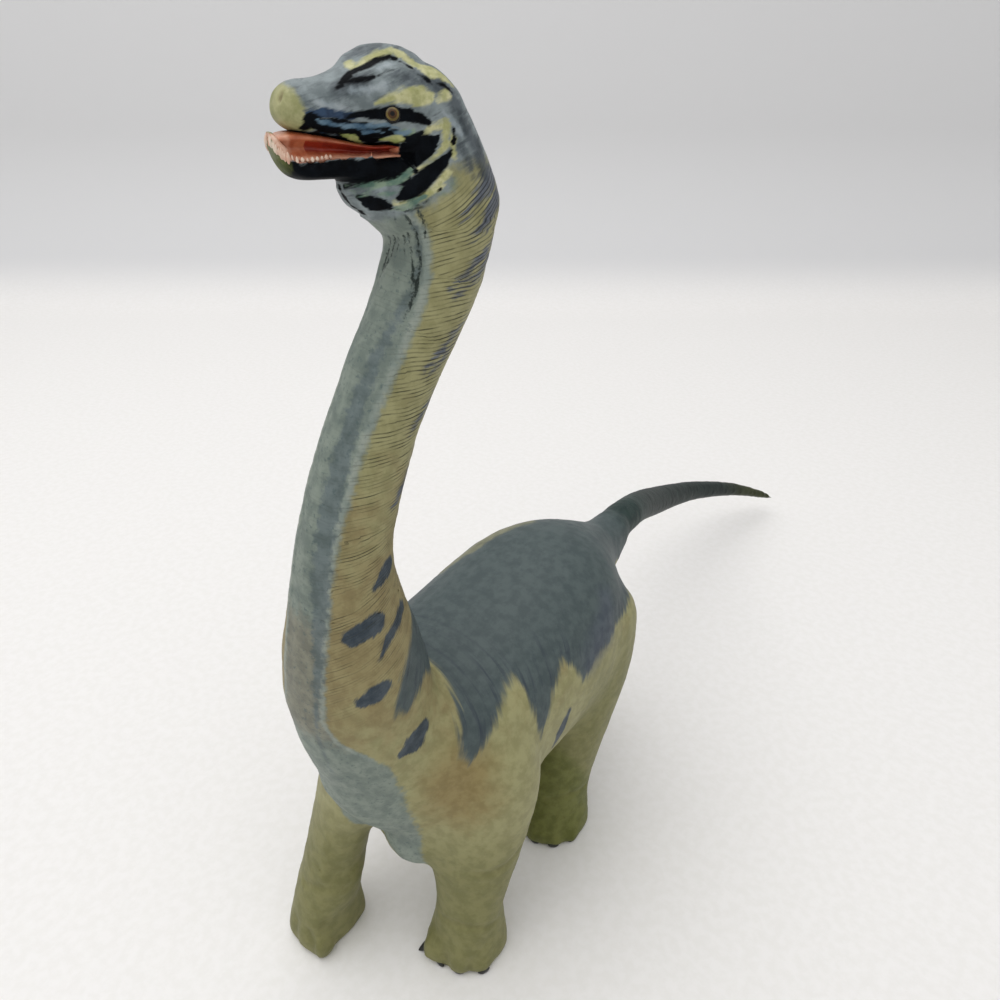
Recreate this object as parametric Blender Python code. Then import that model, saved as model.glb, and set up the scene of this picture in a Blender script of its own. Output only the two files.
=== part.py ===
"""A long-necked toy dinosaur in painted vinyl, caught in mid stride.

It faces -Y, its left side is at +X, and its soles stand on Z = 0. All sizes are in metres.
The hollow body is two shells that meet on the middle plane. The neck, the tail and the four
legs are plugged into it, the head is plugged onto the neck, and the lower jaw into the head.
"""

import math

import bmesh
import bpy
from mathutils import Matrix, Vector

# The body
BODY_LENGTH = 0.158
BODY_WIDTH = 0.072
BACK_HEIGHT = 0.1285
BELLY_HEIGHT = 0.057
SHELL_WALL = 0.003
BODY_DEPTH = BACK_HEIGHT - BELLY_HEIGHT

# The neck
NECK_RISE = 0.145
NECK_LEAN = 0.026
NECK_SIDE_LEAN = 0.0154
NECK_WIDTH = 0.0205

# The head, which is turned to its own right
HEAD_LENGTH = 0.0322
HEAD_WIDTH = 0.0205
HEAD_HEIGHT = 0.0228
HEAD_TURN = math.radians(25)
HEAD_AHEAD = 0.0118
HEAD_ABOVE = 0.0190
HEAD_ASIDE = 0.0013
EYE_WIDTH = 0.0028
TOOTH_LENGTH = 0.0008
TOOTH_WIDTH = 0.0011
TOOTH_COUNT = 8

# The tail
TAIL_LENGTH = 0.237
TAIL_ROOT_WIDTH = 0.0178
TAIL_SWAY = 0.0265
TAIL_DROP = 0.0920

# The legs
LIMB_HEIGHT = 0.105
FORELEG_WIDTH = 0.024
HIND_LEG_WIDTH = 0.027
CLAW_WIDTH = 0.0058
CLAW_HEIGHT = 0.0050
CLAW_SET = 0.0010
CLAW_DEPTH = 0.0015
THUMB_CLAW_WIDTH = 0.0088
THUMB_CLAW_HEIGHT = 0.0120
THUMB_CLAW_DEPTH = 0.0050
LEG_SEAM_HEIGHT = 0.039

# How the pieces plug together
CLEARANCE = 0.0003
NECK_PLUG_WIDTH = 0.016
NECK_PLUG_LENGTH = 0.011
HEAD_PLUG_WIDTH = 0.008
HEAD_PLUG_LENGTH = 0.005
TAIL_PLUG_WIDTH = 0.009
TAIL_PLUG_LENGTH = 0.010
LEG_PLUG_WIDTH = 0.011
LEG_PLUG_LENGTH = 0.009
POST_WIDTH = 0.007
PIN_WIDTH = 0.003
PIN_LENGTH = 0.004
OVERRUN = 0.002

# How fine the surfaces are
BARREL_SIDES = 28
NECK_SIDES = 24
TAIL_SIDES = 18
LEG_SIDES = 20
HEAD_SIDES = 24
PLUG_SIDES = 16
BALL_SIDES = 12
CREST_SIDES = 16
JAW_HOLLOW_SIDES = 18
HOLLOW_SIDES = 16
CLAW_SIDES = 8
TOOTH_SIDES = 6
ROWS_PER_SPAN = 2
TOOTH_ROWS_PER_SPAN = 4

# Along the body, the middle's height over the back's, half the width, and the depths above and below
BARREL_SHARES = (
    (0.035, 0.735, 0.060, 0.084, 0.084),
    (0.058, 0.733, 0.145, 0.200, 0.220),
    (0.107, 0.733, 0.230, 0.270, 0.400),
    (0.186, 0.733, 0.345, 0.292, 0.590),
    (0.297, 0.724, 0.455, 0.296, 0.610),
    (0.468, 0.716, 0.490, 0.378, 0.540),
    (0.639, 0.718, 0.485, 0.464, 0.465),
    (0.747, 0.735, 0.405, 0.430, 0.400),
    (0.829, 0.762, 0.255, 0.316, 0.258),
    (0.905, 0.786, 0.145, 0.185, 0.134),
    (1.000, 0.795, 0.121, 0.124, 0.124),
)
BARREL_SQUARENESS = 0.12
# Up the neck: the height, the set back from the neck's foremost line, the side lean and the half width
NECK_SHARES = (
    (-0.110, 0.560, 0.000, 0.780),
    (0.000, 0.300, 0.000, 0.925),
    (0.200, 0.140, 0.000, 0.975),
    (0.372, 0.032, 0.195, 0.728),
    (0.469, 0.000, 0.325, 0.590),
    (0.559, 0.069, 0.435, 0.529),
    (0.669, 0.265, 0.571, 0.500),
    (0.731, 0.412, 0.656, 0.481),
    (0.793, 0.585, 0.734, 0.486),
    (0.845, 0.769, 0.799, 0.495),
    (0.928, 1.000, 0.909, 0.529),
    (1.000, 1.069, 1.000, 0.560),
)
# Where the neck's foremost line lies on the body's length, and the height it starts from
NECK_ALONG_SHARE = 0.101
NECK_FOOT_SHARE = 0.763
NECK_SEAM_SHARE = 0.323
# Along the tail: the way back, the sway to the right, the drop and the half width
TAIL_SHARES = (
    (-0.035, 0.000, -0.002, 0.460),
    (0.000, 0.020, 0.004, 0.490),
    (0.075, 0.140, 0.050, 0.470),
    (0.170, 0.400, 0.138, 0.446),
    (0.275, 0.660, 0.240, 0.419),
    (0.380, 0.850, 0.348, 0.387),
    (0.506, 0.981, 0.472, 0.344),
    (0.633, 1.000, 0.590, 0.301),
    (0.822, 0.811, 0.776, 0.231),
    (0.960, 0.420, 0.940, 0.124),
    (1.000, 0.264, 1.000, 0.050),
)
TAIL_SEAM_SHARE = 0.140
# Down a foreleg: the height, how far along the way to the foot, half widths out and across, the turn
# towards the foot's own heading, and how square the outline is
FORELEG_SHARES = (
    (0.960, 0.00, 0.300, 0.240, 0.0, 0.00),
    (0.880, 0.05, 0.600, 0.450, 0.0, 0.00),
    (0.760, 0.15, 0.770, 0.520, 0.0, 0.00),
    (0.620, 0.30, 0.740, 0.520, 0.0, 0.00),
    (0.476, 0.50, 0.650, 0.500, 0.0, 0.00),
    (0.305, 0.78, 0.520, 0.455, 0.2, 0.00),
    (0.210, 0.92, 0.480, 0.460, 0.6, 0.05),
    (0.120, 0.98, 0.495, 0.500, 0.9, 0.15),
    (0.050, 1.00, 0.520, 0.530, 1.0, 0.25),
    (0.012, 1.00, 0.515, 0.525, 1.0, 0.25),
    (0.000, 1.00, 0.485, 0.495, 1.0, 0.25),
)
HIND_LEG_SHARES = (
    (1.030, 0.00, 0.260, 0.400, 0.0, 0.00),
    (0.950, 0.03, 0.480, 0.670, 0.0, 0.00),
    (0.830, 0.10, 0.545, 0.760, 0.0, 0.00),
    (0.667, 0.28, 0.565, 0.770, 0.0, 0.00),
    (0.476, 0.55, 0.520, 0.655, 0.0, 0.00),
    (0.300, 0.80, 0.480, 0.545, 0.2, 0.00),
    (0.190, 0.93, 0.470, 0.510, 0.6, 0.05),
    (0.110, 0.98, 0.500, 0.530, 0.9, 0.15),
    (0.045, 1.00, 0.525, 0.550, 1.0, 0.20),
    (0.012, 1.00, 0.520, 0.545, 1.0, 0.20),
    (0.000, 1.00, 0.490, 0.515, 1.0, 0.20),
)
# Each leg: the side it is on, its joint and its foot along the body and out over half the body's width,
# and the foot's turn. A turn is from straight ahead towards the middle, so the feet all point outwards.
LEG_PLACES = {
    "foreleg_left": (1, FORELEG_SHARES, FORELEG_WIDTH, (0.292, 0.64), (0.234, 0.622), math.radians(-21)),
    "foreleg_right": (-1, FORELEG_SHARES, FORELEG_WIDTH, (0.222, 0.45), (0.065, 0.595), math.radians(2)),
    "hindleg_left": (1, HIND_LEG_SHARES, HIND_LEG_WIDTH, (0.717, 0.54), (0.612, 0.435), math.radians(-28)),
    "hindleg_right": (-1, HIND_LEG_SHARES, HIND_LEG_WIDTH, (0.705, 0.54), (0.930, 0.55), math.radians(-12)),
}
# The fold of hide where the standing foreleg joins the chest: its place and its half sizes
CHEST_FOLD_PLACE_SHARE = (0.205, 0.16, 0.431)
CHEST_FOLD_SIZE_SHARE = (0.075, 0.37, 0.115)
ELBOW_TURN = math.radians(40)
THIGH_TURN = math.radians(-8)
# Which ring of the leg the claws stand round, counted from the sole
CLAW_ROW = -4
# The claws' angles outwards from the foot's heading, and how high each one's middle is over its height
CLAW_TURNS = tuple(math.radians(turn) for turn in (-20, 12, 46))
THUMB_TURN = math.radians(-48)
CLAW_RAISE_SHARE = 0.36
# The posts that line the shells up: how far along the body and how high over the back's height
POST_SHARES = ((0.26, 0.70), (0.52, 0.74), (0.76, 0.74))

# Along the skull from its back: the way forward, the top, the bottom and half the width
SKULL_SHARES = (
    (-0.543, 0.020, -0.260, 0.220),
    (-0.466, 0.215, -0.420, 0.390),
    (-0.342, 0.365, -0.480, 0.478),
    (-0.217, 0.410, -0.480, 0.498),
    (-0.093, 0.425, -0.373, 0.493),
    (0.000, 0.430, -0.246, 0.473),
    (0.093, 0.415, -0.237, 0.439),
    (0.186, 0.376, -0.210, 0.405),
    (0.280, 0.318, -0.175, 0.376),
    (0.373, 0.283, -0.153, 0.356),
    (0.466, 0.271, -0.132, 0.337),
    (0.528, 0.247, -0.096, 0.293),
    (0.584, 0.180, -0.044, 0.205),
    (0.610, 0.079, 0.018, 0.073),
)
# Along the lower jaw, in the same terms
JAW_SHARES = (
    (-0.124, -0.303, -0.474, 0.317),
    (-0.031, -0.298, -0.491, 0.390),
    (0.093, -0.303, -0.491, 0.390),
    (0.217, -0.303, -0.482, 0.371),
    (0.311, -0.307, -0.460, 0.351),
    (0.435, -0.320, -0.456, 0.337),
    (0.520, -0.281, -0.452, 0.337),
    (0.585, -0.175, -0.412, 0.302),
    (0.628, -0.100, -0.315, 0.224),
    (0.650, -0.088, -0.215, 0.127),
)
# Up the nape: the way forward of the middle, the height, and half the length and the width
NAPE_SHARES = (
    (-0.375, -1.080, 0.330, 0.500),
    (-0.352, -0.921, 0.384, 0.540),
    (-0.313, -0.768, 0.463, 0.585),
    (-0.265, -0.680, 0.505, 0.575),
    (-0.240, -0.570, 0.518, 0.566),
    (-0.237, -0.500, 0.502, 0.537),
    (-0.349, -0.320, 0.332, 0.507),
    (-0.315, -0.110, 0.292, 0.488),
    (-0.272, 0.088, 0.259, 0.449),
    (-0.229, 0.263, 0.205, 0.350),
    (-0.217, 0.340, 0.124, 0.240),
)
CREST_PLACE_SHARE = (-0.043, 0.228)
CREST_SIZE_SHARE = (0.311, 0.294, 0.302)
BROW_PLACE_SHARE = (-0.095, 0.160, 0.395)
BROW_SIZE_SHARE = (0.165, 0.082, 0.092)
EYE_PLACE_SHARE = (0.000, 0.005, 0.440)
TONGUE_SIZE_SHARE = (0.220, 0.055, 0.170)
TONGUE_PLACE_SHARE = (0.265, -0.372)
MOUTH_CORNER_SHARE = (-0.050, -0.268)
GAPE_REACH_SHARE = 0.311
GAPE_HEIGHT_SHARES = (-0.210, -0.307)
HEAD_SEAM_PLACE_SHARE = (-0.390, -0.475)
HEAD_SEAM_TILT = math.radians(24)
JAW_HOLLOW_SHARE = 0.74
JAW_HOLLOW_DEPTH_SHARE = 0.070
JAW_HOLLOW_REACH_SHARE = 0.985
# The teeth stand along the jaw between two places, near the rim's outer edge
TOOTH_REACH_SHARE = (0.560, 0.120)
TOOTH_LINE_SHARE = 0.88
TOOTH_TIP_SHARE = 0.40
HEAD_SQUARENESS = 0.15

VINYL_ROUGHNESS = 0.55


def clear_scene():
    """Removes every object that the scene holds."""
    for item in list(bpy.data.objects):
        bpy.data.objects.remove(item, do_unlink=True)


def painted_vinyl(name, colour):
    """A plain matt plastic of one colour."""
    material = bpy.data.materials.new(name)
    material.use_nodes = True
    shader = material.node_tree.nodes["Principled BSDF"]
    shader.inputs["Base Color"].default_value = (*colour, 1)
    shader.inputs["Roughness"].default_value = VINYL_ROUGHNESS
    shader.inputs["Metallic"].default_value = 0
    material.diffuse_color = (*colour, 1)
    return material


def smooth_rows(rows, per_span):
    """Passes a smooth curve through rows of numbers and reads it at even steps."""
    out = []
    last = len(rows) - 1
    for index in range(last):
        before = rows[max(index - 1, 0)]
        start = rows[index]
        end = rows[index + 1]
        after = rows[min(index + 2, last)]
        for step in range(per_span):
            t = step / per_span
            out.append(tuple(curve_value(a, b, c, d, t) for a, b, c, d in zip(before, start, end, after)))
    out.append(tuple(rows[last]))
    return out


def curve_value(before, start, end, after, t):
    """One value of a Catmull-Rom curve between start and end."""
    linear = (end - before) * t
    square = (2 * before - 5 * start + 4 * end - after) * t ** 2
    cube = (3 * start - before - 3 * end + after) * t ** 3
    return (2 * start + linear + square + cube) / 2


def oval_place(angle, square):
    """How far across and up a place on a unit oval lies, which squareness fills out at its corners."""
    power = 1 / (1 + square)
    across = math.copysign(abs(math.cos(angle)) ** power, math.cos(angle))
    height = math.copysign(abs(math.sin(angle)) ** power, math.sin(angle))
    return across, height


def ring(centre, side, up, half_width, rise, drop, sides, square=0.0):
    """Points round an oval whose upper and lower halves can differ in depth."""
    points = []
    for index in range(sides):
        across, height = oval_place(math.tau * index / sides, square)
        depth = rise if height > 0 else drop
        points.append(centre + side * half_width * across + up * depth * height)
    return points


def loft(name, rings):
    """A closed solid through rings of equally many points."""
    mesh = bmesh.new()
    loops = [[mesh.verts.new(point) for point in points] for points in rings]
    for lower, upper in zip(loops, loops[1:]):
        for index in range(len(lower)):
            after = (index + 1) % len(lower)
            mesh.faces.new((lower[index], lower[after], upper[after], upper[index]))
    mesh.faces.new(list(reversed(loops[0])))
    mesh.faces.new(loops[-1])
    return solid_from(name, mesh)


def solid_from(name, mesh):
    """Turns an editing mesh into a linked object with its faces pointing out."""
    bmesh.ops.recalc_face_normals(mesh, faces=mesh.faces[:])
    if mesh.calc_volume(signed=True) < 0:
        bmesh.ops.reverse_faces(mesh, faces=mesh.faces[:])
    data = bpy.data.meshes.new(name)
    mesh.to_mesh(data)
    mesh.free()
    item = bpy.data.objects.new(name, data)
    bpy.context.scene.collection.objects.link(item)
    return item


def path_frames(points, side_hint):
    """A tangent, a side and an up direction at each point of a path."""
    frames = []
    last = len(points) - 1
    for index, point in enumerate(points):
        tangent = (points[min(index + 1, last)] - points[max(index - 1, 0)]).normalized()
        side = (side_hint - tangent * side_hint.dot(tangent)).normalized()
        frames.append((point, tangent, side, side.cross(tangent)))
    return frames


def tube(name, points, half_widths, side_hint, sides):
    """A solid with round rings square to a path."""
    rings = []
    for (point, _, side, up), half in zip(path_frames(points, side_hint), half_widths):
        rings.append(ring(point, side, up, half, half, half, sides))
    return loft(name, rings)


def axis_turn(direction):
    """The turn that lays +Z along a direction."""
    return direction.to_track_quat("Z", "Y").to_matrix().to_4x4()


def rod(name, start, direction, length, width, sides=PLUG_SIDES):
    """A round bar from a point along a direction."""
    mesh = bmesh.new()
    bmesh.ops.create_cone(mesh, cap_ends=True, segments=sides, radius1=width / 2, radius2=width / 2,
                          depth=length)
    place = Matrix.Translation(start + direction * length / 2) @ axis_turn(direction)
    bmesh.ops.transform(mesh, matrix=place, verts=mesh.verts[:])
    return solid_from(name, mesh)


def ball(name, place, half_sizes, turn=None, sides=BALL_SIDES):
    """An ellipsoid with half its size along each of its own axes, its facets turned a quarter step."""
    mesh = bmesh.new()
    bmesh.ops.create_uvsphere(mesh, u_segments=sides, v_segments=sides // 2, radius=1)
    quarter_step = Matrix.Rotation(math.tau / sides / 4, 4, "Z")
    turn = turn or Matrix.Identity(4)
    matrix = Matrix.Translation(place) @ turn @ Matrix.Diagonal((*half_sizes, 1)) @ quarter_step
    bmesh.ops.transform(mesh, matrix=matrix, verts=mesh.verts[:])
    return solid_from(name, mesh)


def slab(name, place, direction, reach):
    """A block that fills the side of a plane that the direction points to."""
    mesh = bmesh.new()
    bmesh.ops.create_cube(mesh, size=2 * reach)
    matrix = Matrix.Translation(place + direction * reach) @ axis_turn(direction)
    bmesh.ops.transform(mesh, matrix=matrix, verts=mesh.verts[:])
    return solid_from(name, mesh)


def prism(name, outline, side, half_width):
    """A flat outline drawn out to both sides of its plane."""
    return loft(name, [[point - side * half_width for point in outline],
                       [point + side * half_width for point in outline]])


def combine(target, tool, operation):
    """Joins, cuts or trims a solid by another, which is used up."""
    modifier = target.modifiers.new(operation.title(), "BOOLEAN")
    modifier.operation = operation
    modifier.solver = "EXACT"
    modifier.object = tool
    shaped = target.evaluated_get(bpy.context.evaluated_depsgraph_get())
    data = bpy.data.meshes.new_from_object(shaped)
    target.modifiers.clear()
    target.data = data
    bpy.data.objects.remove(tool, do_unlink=True)
    return target


def finish(item, name, material, sharp_angle=math.radians(38)):
    """Names a finished piece, gives it its material and shades its round faces smooth."""
    item.name = name
    item.data.name = name
    item.data.materials.clear()
    item.data.materials.append(material)
    item.data.shade_smooth()
    item.data.set_sharp_from_angle(angle=sharp_angle)
    return item


def body_point(along_share, out_share, height):
    """A place from shares of the body's length and half width, and a height."""
    return Vector((out_share * BODY_WIDTH / 2, along_share * BODY_LENGTH, height))


def barrel(name, grow=0.0, sides=BARREL_SIDES):
    """The body without neck, legs and tail, grown or shrunk all round."""
    rings = []
    rows = smooth_rows(BARREL_SHARES, ROWS_PER_SPAN)
    for index, (along, middle, half, rise, drop) in enumerate(rows):
        centre = body_point(along, 0, middle * BACK_HEIGHT)
        if index == 0:
            centre.y -= grow
        if index == len(rows) - 1:
            centre.y += grow
        sizes = [half * BODY_WIDTH + grow, rise * BODY_DEPTH + grow, drop * BODY_DEPTH + grow]
        if min(sizes) <= 0:
            continue
        rings.append(ring(centre, Vector((1, 0, 0)), Vector((0, 0, 1)), *sizes, sides, BARREL_SQUARENESS))
    return loft(name, rings)


def neck_path():
    """The points and half widths up the neck, from inside the body to inside the head."""
    rows = smooth_rows(NECK_SHARES, ROWS_PER_SPAN)
    start = NECK_FOOT_SHARE * BACK_HEIGHT
    points = []
    for rise, back, lean, _ in rows:
        place = body_point(NECK_ALONG_SHARE, 0, start + rise * NECK_RISE)
        points.append(place + Vector((lean * NECK_SIDE_LEAN, back * NECK_LEAN, 0)))
    return points, [half * NECK_WIDTH for *_, half in rows]


def neck_tube(name):
    """The whole neck as one solid."""
    points, halves = neck_path()
    return tube(name, points, halves, Vector((1, 0, 0)), NECK_SIDES)


def tail_path():
    """The points and half widths along the tail, which sways to the right and comes down."""
    rows = smooth_rows(TAIL_SHARES, ROWS_PER_SPAN)
    root = body_point(BARREL_SHARES[-1][0], 0, BARREL_SHARES[-1][1] * BACK_HEIGHT)
    points = []
    for back, sway, drop, _ in rows:
        points.append(root + Vector((-sway * TAIL_SWAY, back * TAIL_LENGTH, -drop * TAIL_DROP)))
    return points, [half * TAIL_ROOT_WIDTH for *_, half in rows]


def tail_tube(name):
    """The whole tail as one solid."""
    points, halves = tail_path()
    return tube(name, points, halves, Vector((1, 0, 0)), TAIL_SIDES)


def place_on_path(points, share):
    """The point and the direction at a share of the way along a path's rows."""
    position = share * (len(points) - 1)
    index = min(int(position), len(points) - 2)
    step = points[index + 1] - points[index]
    return points[index] + step * (position - index), step.normalized()


def head_frame():
    """The head's middle at eye height, with its forward, left and up directions."""
    top = neck_path()[0][-1]
    forward = Vector((-math.sin(HEAD_TURN), -math.cos(HEAD_TURN), 0))
    left = Vector((math.cos(HEAD_TURN), -math.sin(HEAD_TURN), 0))
    up = Vector((0, 0, 1))
    middle = top + forward * HEAD_AHEAD - left * HEAD_ASIDE + up * HEAD_ABOVE
    return middle, forward, left, up


def head_point(along_share, height_share, out_share=0.0):
    """A place on the head from shares of its length, height and width."""
    middle, forward, left, up = head_frame()
    along = forward * along_share * HEAD_LENGTH
    return middle + along + up * height_share * HEAD_HEIGHT + left * out_share * HEAD_WIDTH


def head_turn():
    """The turn whose axes are the head's forward, left and up directions."""
    _, forward, left, up = head_frame()
    return Matrix((forward, left, up)).transposed().to_4x4()


def head_ball(name, place_share, size_share, out_share=0.0, sides=BALL_SIDES):
    """An ellipsoid on the head, sized by its length, height and width."""
    along, height, width = size_share
    half_sizes = (along * HEAD_LENGTH, width * HEAD_WIDTH, height * HEAD_HEIGHT)
    return ball(name, head_point(*place_share, out_share), half_sizes, head_turn(), sides)


def teeth(side):
    """The teeth along one side of the lower jaw's rim."""
    rows = smooth_rows(JAW_SHARES, TOOTH_ROWS_PER_SPAN)
    first, last = TOOTH_REACH_SHARE
    out = []
    for index in range(TOOTH_COUNT):
        wanted = first + (last - first) * index / (TOOTH_COUNT - 1)
        along, top, _, half = min(rows, key=lambda row: abs(row[0] - wanted))
        root = head_point(along, top, side * half * TOOTH_LINE_SHARE)
        up = head_frame()[3]
        out.append(spike("tooth", root - up * TOOTH_LENGTH, up, 2 * TOOTH_LENGTH, TOOTH_WIDTH))
    return out


def spike(name, start, direction, length, width):
    """A few-sided peg that narrows towards its tip."""
    mesh = bmesh.new()
    bmesh.ops.create_cone(mesh, cap_ends=True, segments=TOOTH_SIDES, radius1=width / 2,
                          radius2=width / 2 * TOOTH_TIP_SHARE, depth=length)
    place = Matrix.Translation(start + direction * length / 2) @ axis_turn(direction)
    bmesh.ops.transform(mesh, matrix=place, verts=mesh.verts[:])
    return solid_from(name, mesh)


def head_loft(name, shares, grow=0.0, sides=HEAD_SIDES):
    """A solid along the head through its rows, grown all round."""
    rings = []
    _, forward, left, up = head_frame()
    rows = smooth_rows(shares, ROWS_PER_SPAN)
    for index, (along, top, bottom, half) in enumerate(rows):
        centre = head_point(along, (top + bottom) / 2)
        if index == 0:
            centre -= forward * grow
        if index == len(rows) - 1:
            centre += forward * grow
        depth = (top - bottom) / 2 * HEAD_HEIGHT + grow
        rings.append(ring(centre, left, up, half * HEAD_WIDTH + grow, depth, depth, sides, HEAD_SQUARENESS))
    return loft(name, rings)


def nape(name):
    """The back of the head and the throat, standing on the neck."""
    rings = []
    _, forward, left, _ = head_frame()
    for along, height, half_length, half in smooth_rows(NAPE_SHARES, ROWS_PER_SPAN):
        centre = head_point(along, height)
        half_length *= HEAD_LENGTH
        rings.append(ring(centre, left, forward, half * HEAD_WIDTH, half_length, half_length, HEAD_SIDES))
    return loft(name, rings)


def head_seam():
    """The plane where the head meets the neck: a point on it and the way up through it."""
    _, forward, _, up = head_frame()
    normal = forward * math.sin(HEAD_SEAM_TILT) + up * math.cos(HEAD_SEAM_TILT)
    return head_point(*HEAD_SEAM_PLACE_SHARE), normal


def neck_seam():
    """The plane where the neck meets the body, in the same terms."""
    return place_on_path(neck_path()[0], NECK_SEAM_SHARE)


def tail_seam():
    """The plane where the tail meets the body, in the same terms."""
    return place_on_path(tail_path()[0], TAIL_SEAM_SHARE)


def leg_path(place):
    """The middle of each ring down a leg, as points, with the ring's half widths, turn and squareness."""
    side, shares, width, joint, foot, foot_turn = place
    resting_turn = ELBOW_TURN if shares is FORELEG_SHARES else THIGH_TURN
    rows = []
    for height, way, half_out, half_across, turn, square in smooth_rows(shares, ROWS_PER_SPAN):
        along = joint[0] + (foot[0] - joint[0]) * way
        out = joint[1] + (foot[1] - joint[1]) * way
        point = body_point(along, side * out, max(height, 0) * LIMB_HEIGHT)
        angle = resting_turn + (foot_turn - resting_turn) * turn
        rows.append((point, half_out * width, half_across * width, angle, max(square, 0)))
    return rows


def whole_leg(name, place):
    """A leg from inside the body down to its sole."""
    side = place[0]
    rings = []
    for point, half_out, half_across, angle, square in leg_path(place):
        out = Vector((side * math.cos(angle), math.sin(angle), 0))
        back = Vector((-side * math.sin(angle), math.cos(angle), 0))
        rings.append(ring(point, out, back, half_out, half_across, half_across, LEG_SIDES, square))
    return loft(name, rings)


def leg_seam(place):
    """The level where a leg meets the body: the leg's middle there."""
    rows = leg_path(place)
    for above, below in zip(rows, rows[1:]):
        if below[0].z <= LEG_SEAM_HEIGHT:
            share = (above[0].z - LEG_SEAM_HEIGHT) / (above[0].z - below[0].z)
            return above[0].lerp(below[0], share)
    return rows[-1][0]


def claws(place):
    """The claws round the front of a foot, each a rounded nail set into the toe."""
    side, shares, _, _, _, _ = place
    centre, half_out, half_across, angle, square = leg_path(place)[CLAW_ROW]
    heading = Vector((-side * math.sin(angle), -math.cos(angle), 0))
    across = Vector((side * math.cos(angle), -math.sin(angle), 0))
    sizes = [(turn, CLAW_WIDTH, CLAW_DEPTH, CLAW_HEIGHT) for turn in CLAW_TURNS]
    if shares is FORELEG_SHARES:
        sizes.append((THUMB_TURN, THUMB_CLAW_WIDTH, THUMB_CLAW_DEPTH, THUMB_CLAW_HEIGHT))
    out = []
    for turn, width, depth, height in sizes:
        aside, ahead = oval_place(math.pi / 2 - turn, square)
        point = centre + heading * (half_across - CLAW_SET) * ahead + across * (half_out - CLAW_SET) * aside
        point.z = height * CLAW_RAISE_SHARE
        aim = heading * math.cos(turn) + across * math.sin(turn)
        facing = Matrix.Rotation(math.atan2(aim.y, aim.x) + math.pi / 2, 4, "Z")
        out.append(ball("claw", point, (width / 2, depth, height / 2), facing, CLAW_SIDES))
    return out


def build_leg(name, place, material):
    """One leg below its seam, with its claws and the plug that goes into the body."""
    leg = whole_leg(name, place)
    for claw in claws(place):
        combine(leg, claw, "UNION")
    up = Vector((0, 0, 1))
    seam = leg_seam(place)
    combine(leg, slab("above", seam, up, BODY_LENGTH), "DIFFERENCE")
    plug = rod("plug", seam - up * OVERRUN, up, LEG_PLUG_LENGTH + OVERRUN, LEG_PLUG_WIDTH)
    combine(leg, plug, "UNION")
    combine(leg, slab("floor", Vector((0, 0, 0)), -up, BODY_LENGTH), "DIFFERENCE")
    return finish(leg, name, material)


def build_body(materials):
    """The two body shells, with sockets for the neck, the tail and the legs."""
    body = barrel("body")
    reach = BODY_LENGTH
    up = Vector((0, 0, 1))

    neck_root = neck_tube("neck_root")
    neck_place, neck_up = neck_seam()
    combine(neck_root, slab("above", neck_place - neck_up * CLEARANCE, neck_up, reach), "DIFFERENCE")
    combine(body, neck_root, "UNION")

    tail_root = tail_tube("tail_root")
    tail_place, tail_back = tail_seam()
    tail_end = tail_place - tail_back * CLEARANCE
    combine(tail_root, slab("behind", tail_end, tail_back, 2 * reach), "DIFFERENCE")
    combine(body, tail_root, "UNION")

    for place in LEG_PLACES.values():
        stub = whole_leg("stub", place)
        seam = leg_seam(place) + up * CLEARANCE
        combine(stub, slab("below", seam, -up, reach), "DIFFERENCE")
        combine(body, stub, "UNION")

    along, out, height = CHEST_FOLD_PLACE_SHARE
    long_share, wide_share, deep_share = CHEST_FOLD_SIZE_SHARE
    half_sizes = (wide_share * BODY_WIDTH / 2, long_share * BODY_LENGTH, deep_share * BACK_HEIGHT)
    combine(body, ball("chest_fold", body_point(along, out, height * BACK_HEIGHT), half_sizes), "UNION")

    hollow = barrel("hollow", -SHELL_WALL, HOLLOW_SIDES)
    across = Vector((1, 0, 0))
    for along, height in POST_SHARES:
        start = body_point(along, -1, height * BACK_HEIGHT)
        combine(hollow, rod("post", start, across, BODY_WIDTH, POST_WIDTH, BALL_SIDES), "DIFFERENCE")
    combine(body, hollow, "DIFFERENCE")

    neck_bore = rod("bore", neck_place + neck_up * OVERRUN, -neck_up,
                    NECK_PLUG_LENGTH + CLEARANCE + OVERRUN, NECK_PLUG_WIDTH + 2 * CLEARANCE)
    combine(body, neck_bore, "DIFFERENCE")
    tail_bore = rod("bore", tail_place + tail_back * OVERRUN, -tail_back,
                    TAIL_PLUG_LENGTH + CLEARANCE + OVERRUN, TAIL_PLUG_WIDTH + 2 * CLEARANCE)
    combine(body, tail_bore, "DIFFERENCE")
    for place in LEG_PLACES.values():
        bore = rod("bore", leg_seam(place) - up * OVERRUN, up,
                   LEG_PLUG_LENGTH + CLEARANCE + OVERRUN, LEG_PLUG_WIDTH + 2 * CLEARANCE)
        combine(body, bore, "DIFFERENCE")

    shells = []
    for name, side in (("body_shell_left", 1), ("body_shell_right", -1)):
        shell = body.copy()
        shell.data = body.data.copy()
        bpy.context.scene.collection.objects.link(shell)
        outward = across * side
        combine(shell, slab("other_half", outward * CLEARANCE / 2, -outward, 2 * reach), "DIFFERENCE")
        for along, height in POST_SHARES:
            start = body_point(along, 0, height * BACK_HEIGHT)
            if side > 0:
                length = PIN_LENGTH + OVERRUN
                pin = rod("pin", start + across * OVERRUN, -across, length, PIN_WIDTH, BALL_SIDES)
                combine(shell, pin, "UNION")
            else:
                bore = rod("bore", start + across * OVERRUN, -across, PIN_LENGTH + CLEARANCE + OVERRUN,
                           PIN_WIDTH + 2 * CLEARANCE, BALL_SIDES)
                combine(shell, bore, "DIFFERENCE")
        shells.append(finish(shell, name, materials["hide"]))
    bpy.data.objects.remove(body, do_unlink=True)
    return shells


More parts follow.
